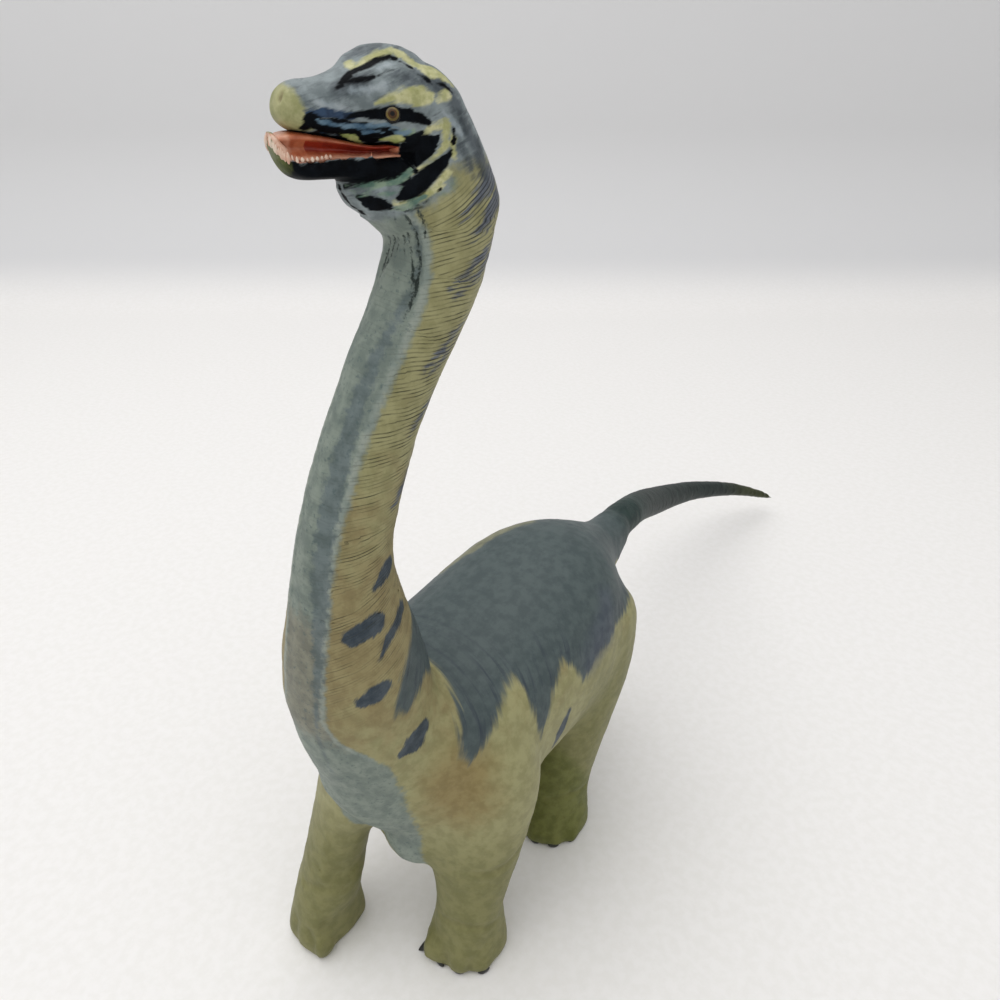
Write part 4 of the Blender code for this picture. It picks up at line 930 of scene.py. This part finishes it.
def hide_coats(paint):
    """The coats that the neck, the body, the legs, the tail and the back of the head share."""
    paint.coat("limb", OLIVE, soft=16, ragged=4, size=90)
    paint.coat("green", ((80, 86, 26), (100, 104, 46)), soft=6, ragged=2, size=120, most=0.8)
    paint.coat("rust", ((122, 100, 56), (134, 114, 68)), soft=0.6, ragged=0.5, size=120, most=0.7)
    paint.coat("tan", ((124, 104, 70), (138, 122, 84)), soft=3, ragged=5, size=160, most=0.6)
    paint.coat("belly", PALE_BLUE, soft=0.9, ragged=1.6, size=600)
    paint.coat("dun", ((108, 104, 90), (128, 124, 106)), soft=1.2, ragged=2.0, size=500, most=0.7)
    paint.coat("border", ((134, 145, 138), (152, 158, 148)), soft=0.6, ragged=1.1, size=800, most=0.6)
    # The dark band down the stripe: partly its own paint, partly painted shade in its groove
    paint.coat("band", ((80, 92, 92), (98, 110, 112)), soft=0.8, ragged=2.2, size=500, most=0.85)
    speckle = paint.ramp(paint.noise(900, 4), 0.56, 0.68)
    speckle = paint.times(speckle, paint.ramp(paint.attribute("belly"), 0, 2))
    paint.shade(paint.times(speckle, 0.6), (74, 90, 90))
    brush = paint.flat_place(paint.attribute("streak"), paint.times(paint.attribute("drop"), 0.14))
    paint.coat("back", SLATE, soft=1.3, ragged=3.4, size=0.55, vector=brush)
    edge = paint.times(paint.ramp(paint.attribute("back"), -1, 2),
                       paint.ramp(paint.attribute("back"), 10, 3))
    streaks = paint.ramp(paint.noise(0.45, 4, brush), 0.46, 0.70)
    paint.shade(paint.times(streaks, paint.times(edge, 0.85)), (46, 54, 64))
    paint.coat("tail", ((34, 48, 46), (48, 62, 59)), soft=8, ragged=3, size=200)
    tail = paint.last
    paint.coat("tailend", ((18, 30, 29), (32, 44, 41)), soft=14, ragged=3, size=200)
    specks = paint.ramp(paint.noise(700, 2), 0.76, 0.82)
    paint.shade(paint.times(paint.times(specks, paint.ramp(paint.attribute("back"), 4, 10)), 0.4),
                (140, 150, 148))
    paint.coat("plum", ((64, 72, 84), (78, 86, 96)), soft=4, ragged=3, size=160, most=0.7)
    paint.coat("farside", ((112, 112, 84), (128, 126, 96)), soft=1.5, ragged=2, size=300, most=0.8)
    paint.coat("tailtip", ((46, 50, 26), (62, 66, 38)), soft=24, ragged=2, size=200, most=0.9)
    paint.coat("spot", SPOT, soft=0.5, ragged=1.2, size=1.4, vector=brush)
    scratch = paint.flat_place(paint.times(paint.attribute("phase"), 1.1),
                               paint.times(paint.attribute("streak"), 0.16))
    paint.coat("nape", ((76, 82, 92), (98, 104, 112)), soft=0.7, ragged=3.0, size=1.0, vector=scratch)
    phase = paint.math("FRACT", paint.attribute("phase"), 0.0)
    line = paint.times(paint.math("ABSOLUTE", paint.math("SUBTRACT", phase, 0.5), 0.0), 2.0)
    line = paint.ramp(line, 0.48, 0.95)
    broken = paint.ramp(paint.noise(0.7, 4, scratch), 0.40, 0.60)
    patchy = paint.math("ADD", paint.times(paint.ramp(paint.noise(110, 3), 0.38, 0.60), 0.65), 0.35)
    ink = paint.times(paint.times(line, broken), paint.attribute("inking"))
    ink = paint.times(ink, patchy)
    paint.shade(paint.times(ink, 0.9), (44, 46, 30))
    near = paint.ramp(paint.attribute("nape"), -2.5, 1.0)
    paint.shade(paint.times(paint.times(line, near), 0.9), (20, 22, 26))
    # Darker olive in the creases and near black in the throat's folds: painted shade
    paint.coat("crease", ((86, 84, 46), (98, 94, 56)), soft=2.2, ragged=0.6, most=0.4)
    paint.coat("fold", ((24, 34, 30), (44, 56, 50)), soft=0.22, ragged=0.7, size=1300)
    return ink, tail


def figure_paint():
    """The whole figure's paint, from the head's strokes to the soles."""
    paint = Paint("painted_hide", KHAKI, 0.5)
    ink, tail = hide_coats(paint)
    paint.coat("throat", ((84, 100, 92), (112, 128, 112)), soft=1.5, ragged=2.5, size=400)
    paint.coat("skull", ((98, 108, 110), (130, 140, 142)), soft=1.5, ragged=3, size=300)
    slant = paint.math("ADD", paint.attribute("above"), paint.times(paint.attribute("ahead"), 0.35))
    brush = paint.flat_place(paint.times(paint.attribute("ahead"), 0.22), slant)
    head_only = paint.ramp(paint.attribute("skull"), 0, 4)
    streaks = paint.ramp(paint.noise(0.7, 4, brush), 0.50, 0.68)
    paint.shade(paint.times(paint.times(streaks, head_only), 0.7), (48, 56, 62))
    # Dark slate patches: partly the skull's own paint, partly painted shade below and behind the crest
    paint.coat("dark_slate_and_shade", ((42, 50, 56), (70, 78, 84)), soft=1.2, ragged=1.8, size=1.0, vector=brush, most=0.85)
    # Whitish grey-blue patches over the head: painted highlight
    paint.coat("pale", ((138, 150, 156), (164, 172, 176)), soft=0.6, ragged=0.9, size=700, most=0.75)
    paint.coat("snout", ((136, 138, 92), (166, 164, 122)), soft=0.8, ragged=1.0, size=500)
    # Dark olive in the sunken nostrils: painted shade
    paint.coat("nostril", ((84, 78, 48), (104, 92, 60)), soft=0.5, ragged=0.3, most=0.75)
    paint.coat("cream", CREAM, soft=0.5, ragged=1.3, size=0.8, vector=brush)
    # The cream darkened to greenish brown in random patches
    cream_patches = paint.times(paint.last, paint.ramp(paint.noise(500, 4), 0.42, 0.66))
    paint.shade(paint.times(cream_patches, 0.6), (132, 136, 84))
    paint.coat("navy", ((22, 38, 62), (44, 66, 92)), soft=0.3, ragged=1.0, size=0.9, vector=brush)
    paint.coat("black", NIGHT, soft=0.28, ragged=1.0, size=0.8, vector=brush)
    night = paint.last
    paint.coat("teal", ((84, 112, 100), (128, 146, 126)), soft=0.35, ragged=1.3, size=1.1, vector=brush)
    paint.coat("blue", ((62, 88, 110), (104, 128, 144)), soft=0.3, ragged=0.9, size=1.2, vector=brush)
    paint.coat("lippatch", ((134, 146, 84), (178, 180, 124)), soft=0.3, ragged=0.9, size=1.0, vector=brush)
    # Darker olive on the jaw's front under the upper lip: painted shade
    paint.coat("chin_shade", ((70, 78, 42), (104, 110, 66)), soft=0.7, ragged=0.6)
    paint.coat("mouth", ((160, 86, 56), (206, 138, 108)), soft=0.2, ragged=0.2, size=1500)
    # Whitish pink at the front of the gape: painted highlight
    paint.coat("front_gum_highlight", ((186, 146, 124), (214, 186, 168)), soft=0.4, ragged=0.8, size=1200, most=0.85)
    matt = paint.math("MAXIMUM", night, paint.times(tail, 0.7))
    gloss = paint.math("SUBTRACT", 0.26, paint.times(matt, 0.22))
    paint.link(gloss, paint.shader.inputs["Specular IOR Level"])
    height = paint.math("SUBTRACT", paint.times(paint.noise(1300, 4), 0.6), ink)
    return paint.finish(height, 0.0002, 0.6)


# Build the skins

body_points, body_quads = voxel_skin(BODY_NODES + HEAD_NODES, BODY_VOXEL, core=TAIL_CORE)
body_edges = edges_of(body_quads)
body_points = relax(body_points, body_edges, 40)
x, y, z = body_points.T
shoulder = step(12, 30, z) * step(165, 140, z)
between = step(17, 12, np.abs(x)) * step(-15, -25, y) * step(80, 66, z)
body_points = fill_folds(body_points, body_quads, body_edges, 60, shoulder * (1 - 0.8 * between))
body_points = relax(body_points, body_edges, 10)
x, y, z = body_points.T
rooted = step(72, 94, y) * step(170, 98, y)
rooted *= np.maximum(step(60, 74, z), step(94, 102, y))
slices = np.arange(103, 164, 3)
above_legs = body_points[z > 60]
middle_of_tail = np.array([above_legs[np.abs(above_legs[:, 1] - cut) < 2].mean(axis=0) for cut in slices])
for axis, raised in ((0, 0.0), (2, TAIL_RAISED)):
    centre = np.interp(y, slices, middle_of_tail[:, axis])
    body_points[:, axis] += rooted * (raised - TAIL_SLIMMED * (body_points[:, axis] - centre))
inner = step(-16, -9, x) * step(0, -4, x)
slim = FOOT_SLIMMED * step(24, 12, z) * step(-46, -54, y)
slim += UPPER_LEG_SLIMMED * step(64, 54, z) * step(28, 38, z) * step(-38, -46, y)
body_points[:, 0] -= inner * slim
body_points, body_quads = refine(body_points, body_quads, BODY_LEVELS)

head_points, head_quads = voxel_skin(HEAD_NODES + ("neck",), HEAD_VOXEL, HEAD_GAP_FILL, 205.0)
head_edges = edges_of(head_quads)
ahead, above, _ = head_places(head_points).T
lips = step(-3, 0, ahead) * step(-8.5, -7.5, above) * step(-1.5, -3, above)
gape = (ahead > -1) & (ahead < 18.5)
lip_level = line_value(LIP_LINE, ahead)
rim_level = line_value(RIM_LINE, ahead)
middle_level = (lip_level + rim_level) / 2
low = gape & (above > rim_level) & (above < middle_level)
high = gape & (above < lip_level) & (above >= middle_level)
head_points[low, 2] += (rim_level - above)[low]
head_points[high, 2] += (lip_level - above)[high]
drawn_up = line_value(RIM_LIFT, ahead) * step(-9.4, -7.2, above)
head_points[:, 2] += np.where(above < middle_level, drawn_up, 0)
head_points = relax(head_points, head_edges, 40, 1 - 0.5 * lips)
corner = step(0.2, -1.6, ahead) * step(-13.5, -11, above) * step(0, -2, above)
head_points = fill_folds(head_points, head_quads, head_edges, 60, corner)
head_points = relax(head_points, head_edges, 12, 1 - 0.8 * lips)
ahead, above, _ = head_places(head_points).T
rim_level = line_value(RIM_LINE, ahead)
middle_level = (line_value(LIP_LINE, ahead) + rim_level) / 2
stump = (ahead > -1) & (ahead < 18) & (above > rim_level) & (above < middle_level)
head_points[stump, 2] += (rim_level - above)[stump]
head_points = relax(head_points, head_edges, 6, step(-0.5, 1.0, ahead) * step(19, 17, ahead))
head_points, head_quads = refine(head_points, head_quads, HEAD_LEVELS)

# The body's collar follows the head's neck closely where the two overlap
head_tree = BVHTree.FromPolygons(head_points.tolist(), head_quads.tolist())
near = np.flatnonzero((side_of(body_points, HEAD_SEAM) > -COLLAR_REACH) & (body_points[:, 2] > COLLAR_FLOOR))
for index in near:
    found = head_tree.find_nearest(Vector(body_points[index]))[0]
    share = step(-COLLAR_REACH, -COLLAR_REACH / 3, side_of(body_points[index][None], HEAD_SEAM))[0]
    body_points[index] += (np.array(found) - body_points[index]) * share


# Skin detail: the leather's grain, the stripe's ridges, its sunken band and the throat's folds
def detailed(points, quads):
    """The skin's points with its relief, and every paint's field on them."""
    x, y, z = points.T
    facing = normals(points, quads)
    fields = {**body_fields(points, facing), **head_fields(points)}
    crease = step(0.55, 0.98, np.abs(fields["phase"] % 1 - 0.5) * 2) * fields["inking"]
    leather = cloud(points, 5.0, 21) * 0.10 + cloud(points, 1.6, 31, 2) * 0.05
    calm = step(0.5, 3.0, z) * (1 - 0.6 * step(-2, 3, fields["skull"]))
    relief = leather * calm - WRINKLE_SUNK * crease
    on_neck = step(125, 160, z)
    below_head = step(0, 1, 3 - side_of(points, HEAD_SEAM))
    relief += RIDGE_RISE * step(-1.1, 0.3, fields["border"]) * on_neck * below_head
    relief -= BAND_SUNK * step(-1.2, 1.2, fields["band"]) * on_neck * step(243, 236, z)
    relief -= FOLD_SUNK * step(-0.5, 0.3, fields["fold"])
    relief -= CREASE_SUNK * step(-2.4, 0.6, fields["crease"])
    relief -= NOSTRIL_SUNK * step(-0.7, 0.3, fields["nostril"])
    for toe_x, toe_y, bulge in toe_places():
        near = np.exp(-((x - toe_x) ** 2 + (y - toe_y) ** 2) / 10)
        relief += bulge * near * step(14, 5, z) * step(0, 4, z + 2.6 * (bulge > 1))
    points = points + facing * relief[:, None]
    points[:, 2] = np.maximum(points[:, 2], 0)
    return points, fields


body_points, body_paint_fields = detailed(body_points, body_quads)
head_points, head_paint_fields = detailed(head_points, head_quads)

middles = body_points[body_quads].mean(axis=1)
x, y, z = middles.T
labels = np.where(x > 0, "body_shell_left", "body_shell_right").astype("U20")
labels[side_of(middles, NECK_SEAM) > 0] = "neck"
labels[side_of(middles, TAIL_SEAM) > 0] = "tail"
low = (z < LEG_SEAM) & (y < LEGS_END)
for name, left, fore in LEGS:
    labels[low & ((x > 0) == left) & ((y < LEG_PARTING) == fore)] = name
labels[(side_of(middles, HEAD_SEAM) > COLLAR_OVERLAP) & (z > COLLAR_FLOOR)] = "gone"
shells = ("body_shell_left", "body_shell_right")
leg_names = tuple(name for name, _, _ in LEGS)
for first, second, plane in (
        (shells[:1], shells[1:], MIDDLE_PLANE), (shells, ("neck",), NECK_SEAM),
        (shells, ("tail",), TAIL_SEAM), (shells, leg_names, LEG_PLANE)):
    snap_to(body_points, body_quads, labels, first, second, plane)

head_middles = head_points[head_quads].mean(axis=1)
ahead, above, _ = head_places(head_middles).T
head_labels = np.full(len(head_middles), "head", "U20")
head_labels[(ahead > JAW_BACK) & (above < MOUTH_LEVEL) & (above > JAW_FLOOR)] = "lower_jaw"
head_labels[side_of(head_middles, HEAD_SEAM) < 0] = "gone"
snap_to(head_points, head_quads, head_labels, ("head", "lower_jaw"), ("gone",), HEAD_SEAM)

hide = figure_paint()
for nodes, points, quads, fields, groups in (
        (BODY_NODES, body_points, body_quads, body_paint_fields, labels),
        (HEAD_NODES, head_points, head_quads, head_paint_fields, head_labels)):
    facing = normals(points, quads)
    for name in nodes:
        item = piece_from(name + "_skin", points, quads, fields, groups == name, facing)
        item.data.materials.append(hide)
        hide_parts(name)

# The eyes, the mouth's flesh, the teeth and the nails

def head_place(ahead, above, out, side):
    """A point from places on the head, on its left for side 1 and on its right for side -1."""
    return HEAD_MIDDLE + ahead * HEAD_AHEAD + above * np.array([0, 0, 1.0]) + side * out * HEAD_LEFT


def add_piece(name, points, faces, material, fields=None):
    """A small closed piece of its own, riding on the figure."""
    item = write_mesh(name, points, faces)
    item.data.materials.append(material)
    item.data.shade_smooth()
    add_fields(item.data, fields or {})
    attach(item, "root")
    return item


def round_form(sides, rows):
    """Points and faces of a ball of radius one whose poles lie on its third axis."""
    points = [(0.0, 0.0, -1.0)]
    for row in range(1, rows):
        tilt = math.pi * row / rows - math.pi / 2
        for index in range(sides):
            turn = math.tau * index / sides
            points.append((math.cos(tilt) * math.cos(turn), math.cos(tilt) * math.sin(turn), math.sin(tilt)))
    points.append((0.0, 0.0, 1.0))
    faces = []
    last = len(points) - 1
    for index in range(sides):
        after = (index + 1) % sides
        faces.append((0, 1 + after, 1 + index))
        faces.append((last, last - sides + index, last - sides + after))
        for row in range(rows - 2):
            low = 1 + row * sides
            faces.append((low + index, low + after, low + sides + after, low + sides + index))
    return np.array(points), faces


def join(forms):
    """Several closed forms as the points and the faces of one piece."""
    faces = []
    count = 0
    for points, sides in forms:
        faces += [tuple(i + count for i in side) for side in sides]
        count += len(points)
    return np.vstack([points for points, _ in forms]), faces


def plain_paint(name, pair, roughness, grain, distance, strength):
    """One paint without strokes, with a fine grain."""
    paint = Paint(name, pair, roughness)
    return paint.finish(paint.noise(grain, 3), distance, strength)


def eye_paint():
    """An ochre ring round a dark pupil, under a little varnish."""
    paint = Paint("painted_eye", ((8, 8, 8), (14, 12, 10)), 0.22)
    paint.shader.inputs["Specular IOR Level"].default_value = 0.25
    paint.coat("ringed", ((84, 70, 30), (108, 92, 46)), soft=0.06, ragged=0.08, size=2500)
    paint.coat("iris", ((58, 36, 14), (80, 52, 22)), soft=0.06, ragged=0.05, size=2500)
    paint.coat("pupil", ((8, 5, 4), (20, 10, 8)), soft=0.06, ragged=0.04, size=2500)
    return paint.finish(paint.noise(900, 2), 0.00002, 0.2)


SIDES = ((1, "left"), (-1, "right"))
EYE_PLACE = (0.5, 0.6)
EYE_HALF = 1.45
EYE_DEPTH = 0.62
EYE_SUNK = 0.12
head_tree = BVHTree.FromPolygons(head_points.tolist(), head_quads.tolist())
varnished = eye_paint()
for side, word in SIDES:
    start = head_place(*EYE_PLACE, 30.0, side)
    found, facing, _, _ = head_tree.ray_cast(Vector(start), Vector(-side * HEAD_LEFT))
    out = unit(np.array(facing) if np.dot(facing, side * HEAD_LEFT) > 0 else -np.array(facing))
    along = unit(np.cross(out, [0, 0, 1.0]))
    up = np.cross(out, along) * -1
    ball, faces = round_form(32, 20)
    radius = np.hypot(ball[:, 0], ball[:, 1]) * EYE_HALF
    centre = np.array(found) - out * EYE_SUNK
    shaped = centre + EYE_HALF * (ball[:, :1] * along + ball[:, 1:2] * up) + EYE_DEPTH * ball[:, 2:] * out
    add_piece(f"eye_{word}", shaped, faces, varnished, {
        "ringed": 1.16 - radius, "iris": 0.82 - radius, "pupil": 0.42 - radius})


# The mouth's flesh fills the gape: along the head, half the width, the roof and the floor
GUM_ROWS = (
    (-1.6, 6.6, -4.7, -6.9),
    (0.5, 6.6, -4.6, -6.9),
    (3.0, 6.3, -4.6, -7.1),
    (6.0, 5.6, -4.2, -7.3),
    (9.0, 5.1, -3.5, -7.4),
    (12.0, 5.0, -2.8, -7.7),
    (15.0, 4.9, -2.3, -7.8),
    (17.5, 4.7, -2.2, -7.5),
    (19.2, 4.2, -2.5, -6.9),
    (20.1, 2.9, -2.9, -6.0),
    (20.7, 1.7, -3.1, -5.0),
    (21.0, 0.8, -3.3, -4.5),
)
GUM_OUTLINE = ((0.0, 1.0), (0.55, 1.0), (0.92, 0.90), (1.0, 0.66), (0.84, 0.40), (0.70, 0.06), (0.82, -0.24),
               (1.02, -0.46), (1.06, -0.70), (0.90, -0.95), (0.5, -1.0), (0.0, -1.0))


def curve_rows(rows, steps):
    """A smooth curve through rows of numbers."""
    rows = np.asarray(rows, float)
    padded = np.vstack([2 * rows[0] - rows[1], rows, 2 * rows[-1] - rows[-2]])
    out = []
    for a, b, c, d in zip(padded, padded[1:], padded[2:], padded[3:]):
        for t in np.arange(steps) / steps:
            out.append(0.5 * (2 * b + (c - a) * t + (2 * a - 5 * b + 4 * c - d) * t ** 2
                              + (3 * b - a - 3 * c + d) * t ** 3))
    out.append(rows[-1])
    return np.array(out)


def flesh_paint():
    """The mouth's orange flesh, with painted shade as deeper red in its hollow and painted highlight as paler
    pink at its front and low down.
    """
    paint = Paint("painted_flesh", ((152, 74, 44), (188, 110, 74)), 0.38)
    # Deeper red along the middle of the gape, behind its front: painted shade
    paint.coat("hollow", ((118, 26, 10), (150, 44, 20)), soft=0.25, ragged=0.25, size=900)
    # Paler pink at the front and on the lower gums: painted highlight
    paint.coat("gum_highlight", ((206, 140, 110), (220, 172, 146)), soft=0.4, ragged=0.5, size=900, most=0.7)
    return paint.finish(paint.noise(1800, 4), 0.0002, 0.8)


outline = curve_rows(GUM_OUTLINE, 5)
whole = np.vstack([outline, (outline * [-1, 1])[-2:0:-1]])
gum_points = []
gum_shade = []
gum_front = []
for ahead, half, roof, base in curve_rows(GUM_ROWS, 9):
    for across, level in whole:
        height_here = (roof + base) / 2 + level * (roof - base) / 2
        gum_points.append(head_place(ahead, height_here, across * half, 1))
        gum_front.append(ahead - 18.2)
        gum_shade.append(0.9 - abs(level - 0.2) * (roof - base) / 2 - (1.1 if ahead > 15.5 else 0))
gum_points = np.array(gum_points)
sides = len(whole)
count = len(gum_points) // sides
faces = []
for row in range(0, (count - 1) * sides, sides):
    for i in range(sides):
        after = (i + 1) % sides
        faces.append((row + i, row + after, row + sides + after, row + sides + i))
faces.append(tuple(range(sides))[::-1])
faces.append(tuple((count - 1) * sides + i for i in range(sides)))
ridged = gum_points - head_place(0, -5.8, 0, 1)
bulge = 0.22 * noise(gum_points, (1.3, 1.3, 3.0), 51)
gum_points = gum_points + np.outer(bulge * np.sign(ridged @ HEAD_LEFT), HEAD_LEFT)
flesh = flesh_paint()
# Its deeper red middle is painted shade, and its paler front and lower gums are painted highlight
add_piece("mouth_flesh", gum_points, faces, flesh, {
    "hollow": gum_shade, "gum_highlight": np.maximum(HEAD_MIDDLE[2] - gum_points[:, 2] - 6.1, gum_front)})

# The teeth stand along the rim: places ahead, and how far out, with the heights they stand at
TOOTH_LINE = ((21.0, 1.4, -3.4), (20.8, 2.9, -4.1), (20.5, 3.9, -4.8), (20.0, 5.0, -5.4), (19.5, 5.5, -6.0),
              (18.3, 6.0, -6.2), (16.6, 6.0, -6.5), (14.8, 6.0, -6.5), (13.0, 5.9, -6.3), (11.4, 5.8, -6.2))
# Ahead of this place the teeth are taller and stand on the jaw's skin
TOOTH_FRONT = 17
ivory = plain_paint("painted_tooth", ((206, 160, 136), (222, 204, 186)), 0.35, 1500, 0.00005, 0.4)
for side, word in SIDES:
    teeth = []
    for number, (ahead, out, base) in enumerate(curve_rows(TOOTH_LINE, 2)):
        ball, faces = round_form(10, 8)
        narrow = 1 - 0.45 * np.clip(ball[:, 2], 0, 1)
        uneven = 1 + 0.22 * math.sin(2.3 * number)
        size, tall = (0.32, 0.86) if ahead > TOOTH_FRONT else (0.34, 0.40)
        girth = size * uneven * narrow
        place = head_place(ahead, base, out, side)
        if ahead > TOOTH_FRONT:
            place = np.array(head_tree.find_nearest(Vector(place))[0])
        offset = np.outer(girth * ball[:, 0], HEAD_AHEAD) + np.outer(girth * ball[:, 1], HEAD_LEFT)
        teeth.append((place + offset + np.outer(tall * uneven * ball[:, 2], [0, 0, 1.0]), faces))
    add_piece(f"teeth_{word}", *join(teeth), ivory)

dark_nail = plain_paint("dark_nail", ((16, 18, 14), (34, 36, 28)), 0.4, 900, 0.0001, 0.5)
olive_nail = plain_paint("olive_nail", ((92, 94, 56), (112, 112, 72)), 0.45, 900, 0.0001, 0.5)
for name, (middle, nails, thumb, dark) in FEET.items():
    forms = []
    ball, faces = round_form(20, 14)
    taper = 1 - 0.35 * np.clip(ball[:, 2], 0, 1)
    wide, thick, tall = NAIL_HALF
    for x, y in nails:
        aim = unit([x - middle[0], y - middle[1], 0.0])
        across = np.cross(aim, [0, 0, 1.0])
        place = np.array([x, y, NAIL_LEVEL]) + (DARK_NAIL_OUT if dark else OLIVE_NAIL_OUT) * aim
        shape = place + np.outer(wide * taper * ball[:, 0], across) + np.outer(thick * ball[:, 1], aim)
        forms.append((shape + np.outer(tall * ball[:, 2], [0, 0, 1.0]), faces))
    if thumb:
        root, tip = np.array(thumb[0]), np.array(thumb[1])
        aim = tip - root
        across = unit(np.cross(aim, [0, 0, 1.0]))
        upward = unit(np.cross(across, aim))
        along = (ball[:, 2] + 1) / 2
        girth = THUMB_GIRTH * (1 - 0.72 * along)
        shape = root + np.outer(along, aim) + np.outer(girth * ball[:, 0], across)
        forms.append((shape + np.outer(girth * ball[:, 1], upward), faces))
    nail_points, nail_faces = join(forms)
    nail_points[:, 2] = np.maximum(nail_points[:, 2], OFF_FLOOR)
    add_piece(name + "_nails", nail_points, nail_faces, dark_nail if dark else olive_nail)


# The camera
heading = np.array([-math.sin(CAMERA_TURN), math.cos(CAMERA_TURN), 0.0])
looking = heading * math.cos(CAMERA_TILT) - np.array([0, 0, math.sin(CAMERA_TILT)])
camera_data = bpy.data.cameras.new("camera")
camera_data.lens = LENS
camera_data.sensor_width = SENSOR
camera_data.clip_start = 0.01
camera_data.clip_end = 20
camera = linked("camera", camera_data)
camera.location = to_frame(CAMERA_PLACE)
camera.rotation_mode = "QUATERNION"
camera.rotation_quaternion = Vector(looking).to_track_quat("-Z", "Y")
bpy.context.scene.camera = camera

# The floor, swept up into a wall behind, painted grey up the sweep as shade
WALL_AWAY = 1.03
WALL_TOP = 3.0
FLOOR_START = -2.5
FLOOR_REACH = 4.0
BEND = 0.20
BEND_STEPS = 24
profile = [(FLOOR_START, 0.0), (0.0, 0.0), (WALL_AWAY - BEND, 0.0)]
for index in range(1, BEND_STEPS + 1):
    turn = math.pi / 2 * index / BEND_STEPS
    profile.append((WALL_AWAY - BEND + BEND * math.sin(turn), BEND - BEND * math.cos(turn)))
profile.append((WALL_AWAY, WALL_TOP))
under_camera = np.array([CAMERA_PLACE[0] * MM, CAMERA_PLACE[1] * MM, 0])
sideways = np.array([heading[1], -heading[0], 0])
floor_points = []
for away, rise in profile:
    for reach in (-FLOOR_REACH, FLOOR_REACH):
        floor_points.append(under_camera + away * heading + reach * sideways + [0, 0, rise])
floor_faces = [(2 * i, 2 * i + 1, 2 * i + 3, 2 * i + 2) for i in range(len(profile) - 1)]
floor_data = bpy.data.meshes.new("floor")
floor_data.from_pydata([tuple(point) for point in floor_points], [], floor_faces)
floor_data.shade_smooth()
floor = linked("floor", floor_data)
backdrop = Paint("backdrop", ((235, 233, 230), (239, 237, 235)), 0.7)
rise = backdrop.node("ShaderNodeSeparateXYZ")
backdrop.link(backdrop.places, rise.inputs["Vector"])
# Greyer as the sweep rises into the wall: painted shade
backdrop.shade(backdrop.ramp(rise.outputs["Z"], -0.01, 0.05), (206, 206, 207))
backdrop.finish(backdrop.noise(300, 2), 0.00001, 0.1)
floor_data.materials.append(backdrop.material)

# The light
WORLD_STRENGTH = 0.72
LAMP_ENERGY = 14
LAMP_SIZE = 1.6
LAMP_PLACE = (-0.25, -0.3, 1.5)
LAMP_AIM = (0, 0, 0.1)
world = bpy.data.worlds.new("world")
bpy.context.scene.world = world
world.use_nodes = True
world.node_tree.nodes["Background"].inputs["Color"].default_value = (1, 1, 1, 1)
world.node_tree.nodes["Background"].inputs["Strength"].default_value = WORLD_STRENGTH
bpy.context.scene.view_settings.view_transform = "Standard"

lamp_data = bpy.data.lights.new("key", "AREA")
lamp_data.energy = LAMP_ENERGY
lamp_data.size = LAMP_SIZE
lamp = linked("key", lamp_data)
lamp.location = LAMP_PLACE
lamp.rotation_mode = "QUATERNION"
lamp.rotation_quaternion = (Vector(LAMP_AIM) - lamp.location).to_track_quat("-Z", "Y")
